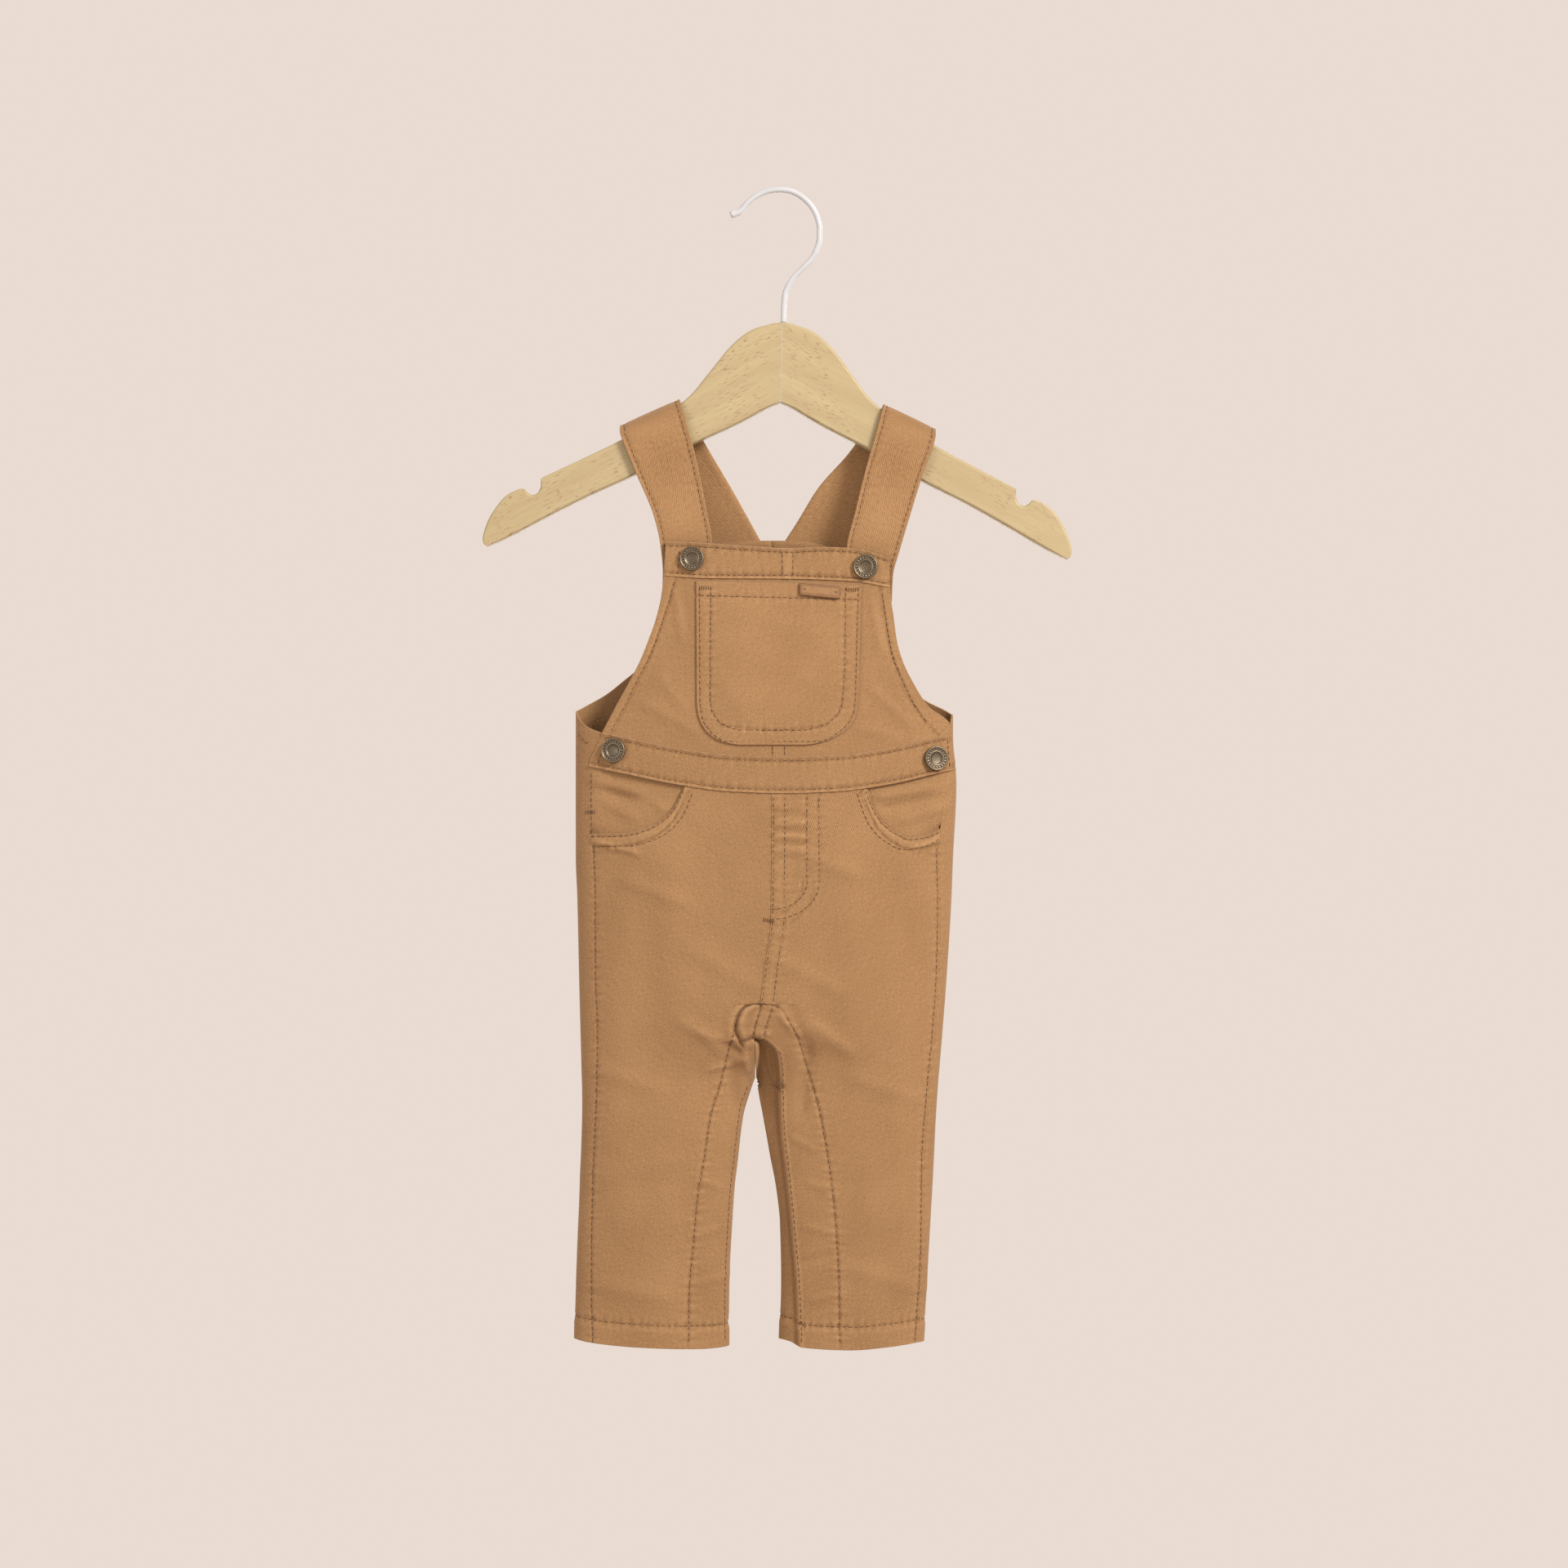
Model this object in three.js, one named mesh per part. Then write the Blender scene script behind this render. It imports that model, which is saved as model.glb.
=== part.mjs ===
import * as THREE from 'three';
import { mergeVertices } from 'three/addons/utils/BufferGeometryUtils.js';

// A baby's bib overalls hung on a wooden hanger. Millimetres, +Z up, the front faces -Y.
// The origin is the point under the top of the hook's wire, where the whole thing hangs.

// Cloth
const CLOTH = 1.2;        // one layer of twill
const BAND = 2.0;         // a folded band: waistband, bib band, strap
const LAYER_GAP = 0.3;    // clear space between two layers
const SEAM_HALF = 0.15;   // half of the space left at a seam
const SQUARENESS = 2.6;   // of the flat-hung section; 2 would be an ellipse
const BAND_PROUD = 0.6;   // a band stands this far above the panels
const POCKET_SET_BACK = CLOTH + LAYER_GAP;

// Heights that pieces meet at
const WAIST_Z = -300;     // lower edge of the waistband, before its sag
const WAISTBAND = 18;     // height of the waistband
const HEM_Z = -587;       // lower edge of the legs, before its curve
const ARCH_Z = -413.4;    // top of the crotch gussets
const CROTCH_Z = -452;    // the legs part here
const MOUTH_BASE_Z = -342; // plain rows end here, rows that bend to the pocket mouth begin

// Hanger
const WOOD = 12;          // thickness
const WOOD_BEVEL = 1.2;
const HANGER_TOP = { x: 1.2, z: -66.6 };
const HANGER_TILT = 1.29; // degrees, the right side hangs lower
const WIRE_RADIUS = 1.55;
const SNAP_RADIUS = 6.2;

const COLOURS = {
  cloth: [184, 138, 95], strap: [190, 145, 105], inside: [165, 121, 82], wood: [214, 192, 150],
  wire: [222, 217, 213], snap: [129, 113, 95], label: [171, 122, 86],
};

const lerp = (a, b, t) => a + (b - a) * t;
const clamp01 = t => Math.min(1, Math.max(0, t));
const ease = t => { const c = clamp01(t); return c * c * (3 - 2 * c); };
const vec = (x, y, z) => new THREE.Vector3(x, y, z);
const steps = n => Array.from({ length: n + 1 }, (_, i) => i / n);

// A table written with named columns, as a list of objects.
function table(columns, rows) {
  return rows.map(row => Object.fromEntries(columns.map((name, i) => [name, row[i]])));
}

// A smooth curve through one column of a table, over another; it never overshoots a row.
function track(rows, over, column) {
  const sorted = [...rows].sort((a, b) => a[over] - b[over]);
  const at = sorted.map(row => row[over]);
  const value = sorted.map(row => row[column]);
  const slope = at.slice(1).map((t, i) => (value[i + 1] - value[i]) / (t - at[i]));
  const tangent = value.map((_, i) => {
    if (i === 0) return slope[0];
    if (i === slope.length) return slope[i - 1];
    const before = slope[i - 1], after = slope[i];
    return before * after <= 0 ? 0 : 2 * before * after / (before + after);
  });
  return t => {
    if (t <= at[0]) return value[0];
    if (t >= at[at.length - 1]) return value[value.length - 1];
    let i = 0;
    while (t > at[i + 1]) i += 1;
    const width = at[i + 1] - at[i];
    const s = (t - at[i]) / width;
    const a = 2 * s ** 3 - 3 * s * s + 1, b = s ** 3 - 2 * s * s + s;
    return a * value[i] + b * width * tangent[i] + (1 - a) * value[i + 1]
      + (s ** 3 - s * s) * width * tangent[i + 1];
  };
}

// The hung body: outline seen from the front, and how far front and back stand out.
const BODY = table(['z', 'left', 'right', 'front', 'back'], [
  [-177, -104.2, 88.4, 11.6, 8.6],
  [-230, -104.2, 88.4, 14.4, 12.6],
  [-277, -104.2, 88.4, 17.0, 16.4],
  [-302, -104.2, 90.1, 17.6, 17.4],
  [-339, -104.2, 88.4, 18.0, 18.4],
  [-360, -103.4, 87.6, 18.0, 18.6],
  [-401, -102.5, 85.1, 16.6, 18.0],
  [-443, -101.4, 81.8, 14.6, 15.4],
  [-464, -100.9, 80.1, 13.4, 14.2],
  [-505, -102.1, 78.0, 12.4, 12.8],
  [-547, -103.8, 75.6, 11.6, 11.8],
  [-588, -104.9, 73.2, 11.0, 11.0],
]);

// The middle line the two halves meet at, and each leg's inner edge below the crotch.
const MIDDLE = table(['z', 'x'], [
  [-177, -4.1], [-307, -4.1], [-370, -4.6], [-393, -7.5], [-413, -10.0], [-431, -12.6], [-452, -12.4],
]);
const LEG_INNER = table(['z', 'left', 'right'], [
  [-452, -12.7, -12.1], [-460, -15.4, -10.9], [-470, -18.4, -9.0], [-480, -19.9, -7.1],
  [-493, -21.3, -4.8], [-507, -23.0, -2.1], [-526, -24.3, 0.0], [-555, -25.7, 0.6], [-588, -26.1, -0.4],
]);

// Seams that run down the front, as x over z.
const SIDE_SEAM = table(['z', 'left', 'right'], [
  [-274, -90.2, 86.0], [-278, -91.2, 86.4], [-294, -97.1, 89.2], [-315, -97.3, 82.4], [-339, -96.0, 81.3],
  [-361, -95.4, 81.8], [-397, -95.3, 81.2], [-428, -94.3, 79.2], [-463, -95.0, 75.9], [-493, -96.3, 73.8],
  [-536, -97.4, 73.4], [-562, -97.4, 72.0], [-587, -96.6, 70.1],
]);
const GUSSET_SEAM = table(['z', 'left', 'right'], [
  [-413.8, -17.0, -1.0], [-418, -20.8, 2.8], [-423, -22.9, 6.1], [-431, -25.0, 10.1], [-443, -28.2, 13.6],
  [-457, -31.8, 18.0], [-470, -35.9, 21.5], [-491, -39.1, 25.2], [-512, -42.7, 28.0], [-536, -44.8, 30.0],
  [-560, -46.9, 31.0], [-587, -47.3, 31.5],
]);
const INSEAM_RIGHT = table(['z', 'x'], [
  [-458, 0.4], [-477, 1.2], [-496, 3.3], [-516, 5.4], [-535, 7.1], [-554, 8.7], [-587, 10.2],
]);

// Edges that run across, as z over x: the sag of the waistband and the curve of the hems.
const WAIST_EDGE = table(['x', 'z'], [
  [-97, -292.8], [-79, -296.5], [-52, -302.0], [-25, -305.6], [2, -306.5], [29, -305.6], [56, -301.9],
  [83, -295.7], [90, -294.4],
]);
const HEM_EDGE = table(['x', 'z'], [
  [-104, -584.5], [-97, -585.8], [-73, -587.9], [-41, -589.0], [-27, -588.2], [-10, -586.5], [0, -584.6],
  [5, -585.4], [11, -588.2], [35, -589.4], [54, -588.0], [71, -585.9],
]);
const MOUTH = {
  left: table(['x', 'z'], [
    [-47.5, -300.0], [-49.4, -305.0], [-52.3, -311.5], [-57.7, -318.1], [-66.0, -323.5], [-79.7, -327.0],
    [-98, -327.4],
  ]),
  right: table(['x', 'z'], [
    [42.0, -300.0], [44.0, -305.6], [46.1, -311.5], [51.0, -319.8], [58.1, -325.6], [66.0, -328.9],
    [75.9, -327.4], [83, -323.9],
  ]),
};

// The bib: its side edges over z, the top edge and the band's lower seam over x.
const BIB_SIDE = table(['z', 'left', 'right'], [
  [-179, -57.7, 55.0], [-187, -58.2, 55.2], [-205, -59.8, 56.0], [-218, -62.7, 57.7], [-229, -66.6, 59.2],
  [-239, -70.6, 62.0], [-251, -76.8, 67.8], [-263, -83.4, 75.8], [-271, -87.6, 86.0], [-276, -90.4, 86.4],
]);
const BIB_TOP = table(['x', 'z'], [
  [-58, -179.1], [-38, -179.9], [-17, -181.4], [5, -182.6], [22, -181.9], [34, -182.3], [44, -183.8],
  [55, -187.2],
]);
const BAND_SEAM = table(['x', 'z'], [
  [-59, -196.1], [-35, -197.5], [0, -197.7], [38, -199.0], [55, -201.9],
]);
const POCKET_SIDE = table(['z', 'left', 'right'], [
  [-199.0, -42.3, 41.5], [-220, -42.1, 40.7], [-240, -42.0, 40.2], [-260, -41.9, 39.5],
  [-266, -41.2, 38.6], [-271.2, -39.6, 36.1], [-275.5, -36.6, 31.8], [-278.8, -32.4, 26.2],
  [-281.0, -27.0, 20.0], [-282.0, -20.5, 13.5],
]);
const LABEL_ROWS = table(['z', 'left', 'right', 'slant'], [
  [-200.4, 10.0, 30.7, -0.1], [-204.6, 10.4, 30.2, -0.1], [-206.2, 12.2, 28.4, -0.1],
]);

// The upper edge of the back: armhole and back neck, as z over the share of the half width.
const BACK_EDGE = table(['across', 'left', 'right'], [
  [0.00, -177.4, -177.4], [0.09, -177.5, -177.5], [0.37, -182.0, -181.6], [0.405, -192.0, -190.0],
  [0.46, -209.0, -208.0], [0.56, -228.5, -229.0], [0.685, -243.0, -245.5], [0.76, -249.2, -252.5],
  [0.85, -256.3, -259.2], [0.965, -262.9, -264.6], [1.00, -264.8, -266.6],
]);
const FRONT_LIP = table(['across', 'left', 'right'], [
  [0.86, -276.2, -277.4], [0.94, -272.9, -275.6], [0.983, -268.7, -271.4], [1.00, -264.8, -266.6],
]);

// The largest folds: ridges (+) and hollows (-) along a line, on the front and on the back.
const FOLD_COLUMNS = ['x1', 'z1', 'x2', 'z2', 'width', 'height'];
const FOLDS = {
  front: table(FOLD_COLUMNS, [
    [-58, -345, -52, -420, 11, 1.6], [-84, -400, -80, -520, 12, 1.4], [-60, -470, -66, -575, 12, 1.6],
    [-36, -440, -22, -425, 6, 1.5], [34, -350, 40, -430, 12, 1.5], [62, -400, 60, -520, 12, 1.6],
    [44, -500, 46, -580, 9, 1.2], [-45, -520, -42, -580, 8, -1.2], [22, -432, 8, -424, 5, 1.3],
    [-30, -222, -20, -262, 14, 0.8], [66, -335, 72, -372, 8, 1.2], [-72, -335, -80, -372, 9, 1.3],
  ]),
  back: table(FOLD_COLUMNS, [
    [-62, -300, -50, -392, 14, 2.2], [48, -306, 36, -396, 13, 2.0], [-82, -395, -74, -505, 13, 1.7],
    [-44, -440, -60, -560, 12, 1.8], [60, -400, 54, -520, 13, 1.8], [30, -448, 40, -560, 11, 1.5],
    [-30, -218, -36, -262, 12, 1.5], [26, -220, 30, -268, 12, 1.6], [-22, -415, -44, -432, 8, 1.8],
    [6, -418, 28, -436, 8, 1.6],
  ]),
};

function foldHeight(side, x, z) {
  return FOLDS[side].reduce((sum, f) => {
    const dx = f.x2 - f.x1, dz = f.z2 - f.z1;
    const length = Math.hypot(dx, dz);
    const along = ((x - f.x1) * dx + (z - f.z1) * dz) / length;
    const off = ((x - f.x1) * dz - (z - f.z1) * dx) / length;
    const past = Math.max(0, -along, along - length);
    return sum + f.height * Math.exp(-((off / f.width) ** 2) - (past / (1.6 * f.width)) ** 2);
  }, 0);
}

const frontDepth = track(BODY, 'z', 'front'), backDepth = track(BODY, 'z', 'back');
const middle = track(MIDDLE, 'z', 'x'), waistEdge = track(WAIST_EDGE, 'x', 'z');
const hemEdge = track(HEM_EDGE, 'x', 'z'), inseamRight = track(INSEAM_RIGHT, 'z', 'x');
const bibTop = track(BIB_TOP, 'x', 'z'), bandSeam = track(BAND_SEAM, 'x', 'z');
const HALVES = Object.fromEntries(['left', 'right'].map(side => [side, {
  outline: track(BODY, 'z', side),
  legInner: track(LEG_INNER, 'z', side),
  sideSeam: track(SIDE_SEAM, 'z', side),
  gussetSeam: track(GUSSET_SEAM, 'z', side),
  bibSide: track(BIB_SIDE, 'z', side),
  pocketSide: track(POCKET_SIDE, 'z', side),
  mouth: track(MOUTH[side], 'x', 'z'),
  backEdge: track(BACK_EDGE, 'across', side),
  frontLip: track(FRONT_LIP, 'across', side),
  outward: side === 'left' ? -1 : 1,
}]));

// How much of the body's one section is left: 1 above the gussets, 0 where the legs part.
function joined(z) {
  const t = clamp01((z - CROTCH_Z) / (ARCH_Z - CROTCH_Z));
  return Math.sqrt(1 - (1 - t) ** 2);
}

function innerEdge(half, z) {
  if (z <= CROTCH_Z) return HALVES[half].legInner(z);
  return middle(z) + HALVES[half].outward * 0.3 * (1 - joined(z));
}

// The crotch lies a little towards the back, so inner edges are drawn back around it.
function innerSetBack(z) {
  return 5.5 * Math.exp(-(((z - CROTCH_Z + 4) / 20) ** 2));
}

const bulge = v => Math.sign(v) * Math.abs(v) ** (2 / SQUARENESS);

// A point of one half of the skin. turn is 0 at the inner edge on the front, 1 at the
// outline and 2 back at the inner edge on the back. Only the cloth near the inner edge
// turns quickly at the crotch; the rest of the section changes slowly down the thigh.
function skin(half, turn, z) {
  const nearInner = Math.abs(1 - turn) ** 5;
  const w = lerp(ease((z + 520) / 120), joined(z), nearInner);
  const body = Math.PI * turn / 2, leg = Math.PI * (turn - 0.5);
  const across = lerp((1 + bulge(Math.sin(leg))) / 2, bulge(Math.sin(body)), w);
  const out = lerp(bulge(Math.cos(leg)), bulge(Math.cos(body)), w);
  const inner = innerEdge(half, z);
  const x = inner + (HALVES[half].outline(z) - inner) * across;
  const depth = turn < 1 ? frontDepth(z) : backDepth(z);
  const standing = depth + foldHeight(turn < 1 ? 'front' : 'back', x, z);
  return vec(x, innerSetBack(z) * (1 - across) ** 2 - standing * out, z);
}

// The same point with the direction that faces out of the cloth.
function place(half, turn, z) {
  const open = z > CROTCH_Z;
  const wrap = t => (open ? Math.min(2, Math.max(0, t)) : (t + 2) % 2);
  const aSide = skin(half, wrap(turn + 0.006), z).sub(skin(half, wrap(turn - 0.006), z));
  const aUp = skin(half, wrap(turn), z + 0.6).sub(skin(half, wrap(turn), z - 0.6));
  const normal = aSide.cross(aUp).multiplyScalar(HALVES[half].outward).normalize();
  return { point: skin(half, wrap(turn), z), normal };
}

const sections = new Map();

// One half section as a fine outline with the running length, so that pieces are cut evenly.
function section(half, z) {
  const key = `${half} ${z.toFixed(3)}`;
  if (!sections.has(key)) {
    const turns = steps(160).map(t => 2 * t);
    const points = turns.map(turn => skin(half, turn, z));
    const lengths = [0];
    for (let i = 1; i < points.length; i += 1) {
      lengths.push(lengths[i - 1] + points[i].distanceTo(points[i - 1]));
    }
    sections.set(key, { turns, points, lengths, total: lengths[lengths.length - 1] });
  }
  return sections.get(key);
}

function turnAt(half, z, length) {
  const s = section(half, z);
  const l = length > s.total ? length - s.total : Math.max(0, length);
  let i = 1;
  while (i < s.lengths.length - 1 && s.lengths[i] < l) i += 1;
  const t = clamp01((l - s.lengths[i - 1]) / (s.lengths[i] - s.lengths[i - 1]));
  return lerp(s.turns[i - 1], s.turns[i], t);
}

// Length from the inner edge to a given x on the front.
function lengthAtX(half, z, x) {
  const s = section(half, z);
  const reach = HALVES[half].outward;
  let i = 1;
  while (s.turns[i] < 1 && (s.points[i].x - x) * reach < 0) i += 1;
  const a = s.points[i - 1].x, b = s.points[i].x;
  return lerp(s.lengths[i - 1], s.lengths[i], a === b ? 0 : clamp01((x - a) / (b - a)));
}

const sideLength = (half, z) => lengthAtX(half, z, HALVES[half].sideSeam(z));
const gussetLength = (half, z) => lengthAtX(half, z, HALVES[half].gussetSeam(z));

// The inseam: at the inner edge of the left leg, on the front of the right one.
function inseamLength(half, z) {
  if (half === 'left' || z >= CROTCH_Z) return 0;
  const full = lengthAtX(half, z, inseamRight(z));
  return full * ease((CROTCH_Z - z) / 6);
}

// Rows are level in the legs, and follow the waistband's sag and the hem's curve.
function height(x, level) {
  const sag = ease((level + 400) / (WAIST_Z + 400)) * ease((-200 - level) / (-200 - WAIST_Z - WAISTBAND));
  const hem = ease((-500 - level) / (-500 - HEM_Z));
  return level + (waistEdge(x) - WAIST_Z) * sag + (hemEdge(x) - HEM_Z) * hem;
}

const LEG_LEVELS = [HEM_Z, -576, -560, -542, -524, -506, -489, -474, -463, -455, -452.3];
const CROTCH_LEVELS = [-449, -443, -436, -428, -420, -416];
const HIP_LEVELS = [-404, -392, -376, -358, MOUTH_BASE_Z];

// A closed wall of cloth on a grid of placed points; from `outer` inwards by `thick`.
function wall(name, grid, colour, outer = 0, thick = CLOTH) {
  const rows = grid.length, columns = grid[0].length, half = rows * columns;
  const layer = off => grid.flat().map(g => g.point.clone().addScaledVector(g.normal, off));
  const points = [...layer(outer), ...layer(outer - thick)];
  const at = (r, c, inner) => r * columns + c + (inner ? half : 0);
  const index = [];
  const quad = (a, b, c, d) => index.push(a, b, c, a, c, d);
  for (let r = 0; r < rows - 1; r += 1) {
    for (let c = 0; c < columns - 1; c += 1) {
      quad(at(r, c), at(r, c + 1), at(r + 1, c + 1), at(r + 1, c));
      quad(at(r, c, 1), at(r + 1, c, 1), at(r + 1, c + 1, 1), at(r, c + 1, 1));
    }
  }
  for (let r = 0; r < rows - 1; r += 1) {
    quad(at(r, 0), at(r + 1, 0), at(r + 1, 0, 1), at(r, 0, 1));
    quad(at(r, columns - 1), at(r, columns - 1, 1), at(r + 1, columns - 1, 1), at(r + 1, columns - 1));
  }
  for (let c = 0; c < columns - 1; c += 1) {
    quad(at(0, c), at(0, c, 1), at(0, c + 1, 1), at(0, c + 1));
    quad(at(rows - 1, c), at(rows - 1, c + 1), at(rows - 1, c + 1, 1), at(rows - 1, c, 1));
  }
  return solid(name, points, index, colour);
}

function solid(name, points, index, colour) {
  const volume = index.reduce((sum, _, i) => (i % 3 ? sum
    : sum + points[index[i]].dot(points[index[i + 1]].clone().cross(points[index[i + 2]]))), 0);
  const faces = volume < 0 ? index.slice().reverse() : index;
  const geometry = new THREE.BufferGeometry();
  geometry.setAttribute('position', new THREE.Float32BufferAttribute(points.flatMap(p => [p.x, p.y, p.z]), 3));
  geometry.setIndex(faces);
  return paint(name, geometry, colour);
}

function paint(name, geometry, colour) {
  geometry.computeVertexNormals();
  const [r, g, b] = COLOURS[colour].map(c => c / 255);
  const metal = colour === 'snap';
  const mesh = new THREE.Mesh(geometry, new THREE.MeshStandardMaterial({
    color: new THREE.Color().setRGB(r, g, b, THREE.SRGBColorSpace),
    roughness: { wire: 0.3, wood: 0.5, snap: 0.35 }[colour] ?? 0.85,
    metalness: metal ? 0.9 : 0,
  }));
  mesh.name = name;
  return mesh;
}

// A cell corner: the share of the way between two running lengths, at the height that
// `rise` gives for its x; found in a few passes because the two depend on each other.
function settle(half, level, share, from, to, rise = height) {
  let z = level, turn = 0;
  for (let pass = 0; pass < 3; pass += 1) {
    turn = turnAt(half, z, lerp(from(z), to(z), share));
    z = rise(skin(half, turn, z).x, level);
  }
  return { turn, z };
}

function panelRows(half, levels, shares, from, to, rise) {
  return levels.map(level => shares.map(share => {
    const { turn, z } = settle(half, level, share, from, to, rise);
    return place(half, turn, z);
  }));
}

function frontPanel(half) {
  const { mouth } = HALVES[half];
  const shares = [0, 0.08, 0.17, 0.26, 0.35, 0.43, 0.5, 0.53, 0.57, 0.62, 0.69, 0.77, 0.85, 0.93, 1];
  const inner = z => (z >= ARCH_Z ? 0 : gussetLength(half, z)) + SEAM_HALF;
  const outer = z => sideLength(half, z) - SEAM_HALF;
  const legs = [...LEG_LEVELS, ...CROTCH_LEVELS, ARCH_Z - 0.3, ARCH_Z + 0.2, ...HIP_LEVELS];
  const rise = (x, level) => {
    const top = Math.min(waistEdge(x) - LAYER_GAP, mouth(x));
    return lerp(height(x, MOUTH_BASE_Z), top, (level - MOUTH_BASE_Z) / (WAIST_Z - MOUTH_BASE_Z));
  };
  const grid = [
    ...panelRows(half, legs, shares, inner, outer),
    ...panelRows(half, [-328, -314, WAIST_Z], shares, inner, outer, rise),
  ];
  return wall(`front_${half}`, grid, 'cloth');
}

// The piece behind the hip pocket's mouth, one layer below the front panel.
function hipFacing(half) {
  const { mouth } = HALVES[half];
  const start = half === 'left' ? -43.5 : 38.5;
  const from = z => lengthAtX(half, z, start);
  const to = z => sideLength(half, z) - 0.6;
  const rise = (x, t) => lerp(Math.min(mouth(x), waistEdge(x)) - 7, waistEdge(x) - LAYER_GAP, t);
  const grid = steps(4).map(t => steps(8).map(share => {
    const { turn, z } = settle(half, lerp(-330, WAIST_Z, t), share, from, to, x => rise(x, t));
    return place(half, turn, z);
  }));
  return wall(`hip_pocket_${half}`, grid, 'cloth', -POCKET_SET_BACK);
}

function gusset(half) {
  const levels = [...LEG_LEVELS, ...CROTCH_LEVELS, ARCH_Z - 0.9];
  const grid = panelRows(half, levels, steps(4),
    z => inseamLength(half, z) + SEAM_HALF, z => gussetLength(half, z) - SEAM_HALF);
  return wall(`gusset_${half}`, grid, 'cloth');
}

function backPanel(half) {
  const { outline, backEdge, frontLip } = HALVES[half];
  const from = z => sideLength(half, z) + SEAM_HALF;
  const to = z => section(half, z).total + inseamLength(half, z) - SEAM_HALF;
  const shares = [0, 0.03, 0.07, 0.12, 0.2, 0.28, 0.36, 0.44, 0.52, 0.59, 0.66, 0.72, 0.79, 0.86, 0.93, 1];
  const lower = [...LEG_LEVELS, ...CROTCH_LEVELS, -410, ...HIP_LEVELS, -324, -308, WAIST_Z, WAIST_Z + WAISTBAND / 2];
  const base = WAIST_Z + WAISTBAND;
  const grid = panelRows(half, lower, shares, from, to);
  const turns = shares.map(share => settle(half, base, share, from, to).turn);
  for (const t of steps(8)) {
    grid.push(turns.map(turn => {
      const { x } = skin(half, turn, base);
      const across = clamp01((x - middle(base)) / (outline(base) - middle(base)));
      const top = turn < 1 ? frontLip(across) : backEdge(across);
      return place(half, turn, lerp(height(x, base), top, t));
    }));
  }
  return wall(`back_${half}`, grid, 'cloth');
}

// A point of the front by its x and z, on whichever half it falls.
function onFront(x, z) {
  const half = x < middle(z) ? 'left' : 'right';
  const inner = innerEdge(half, z);
  const across = clamp01((x - inner) / (HALVES[half].outline(z) - inner));
  return place(half, 2 / Math.PI * Math.asin(across ** (SQUARENESS / 2)), z);
}

function waistband() {
  const levels = [0.15, WAISTBAND / 2, WAISTBAND - 0.15].map(up => WAIST_Z + up);
  const grid = levels.map(level => {
    const side = (half, shares) => panelRows(half, [level], shares, () => 0, z => sideLength(half, z) - 0.4)[0];
    return [...side('left', steps(12).slice(1).reverse()), ...side('right', steps(12))];
  });
  return wall('waistband', grid, 'cloth', BAND_PROUD, BAND);
}

// A flat piece of the front given by its side edges over z and rows bent between two edges.
function frontPiece(name, { rows, columns, left, right, low, high, colour, outer, thick }) {
  const grid = rows.map(t => columns.map(share => {
    let z = lerp(low(0), high(0), t), x = 0;
    for (let pass = 0; pass < 3; pass += 1) {
      x = lerp(left(z), right(z), share);
      z = lerp(low(x), high(x), t);
    }
    return onFront(x, z);
  }));
  return wall(name, grid, colour ?? 'cloth', outer, thick);
}

function bib(half) {
  const { bibSide } = HALVES[half];
  const atMiddle = z => middle(z) + HALVES[half].outward * SEAM_HALF;
  return frontPiece(`bib_${half}`, {
    rows: [0, 0.04, 0.09, 0.15, 0.22, 0.3, 0.4, 0.55, 0.75, 1], columns: steps(9), left: atMiddle, right: bibSide,
    low: x => height(x, WAIST_Z + WAISTBAND) + SEAM_HALF,
    high: x => bandSeam(x) - LAYER_GAP,
  });
}

function bibBand() {
  return frontPiece('bib_band', {
    rows: steps(2), columns: steps(18), left: HALVES.left.bibSide, right: HALVES.right.bibSide,
    low: bandSeam, high: bibTop, outer: BAND_PROUD, thick: BAND,
  });
}

function bibPocket() {
  const bottom = -282, top = -199;
  const rows = POCKET_SIDE.map(row => (row.z - bottom) / (top - bottom)).reverse();
  return frontPiece('bib_pocket', {
    rows, columns: steps(10), left: HALVES.left.pocketSide, right: HALVES.right.pocketSide,
    low: () => bottom, high: x => top - 0.025 * (x + 42), outer: LAYER_GAP + CLOTH,
  });
}

function label() {
  const grid = LABEL_ROWS.map(row => steps(4).map(share => {
    const x = lerp(row.left, row.right, share);
    return onFront(x, row.z + row.slant * (x - row.left));
  }));
  return wall('label', grid, 'label', 2 * (LAYER_GAP + CLOTH), 1.0);
}

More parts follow.
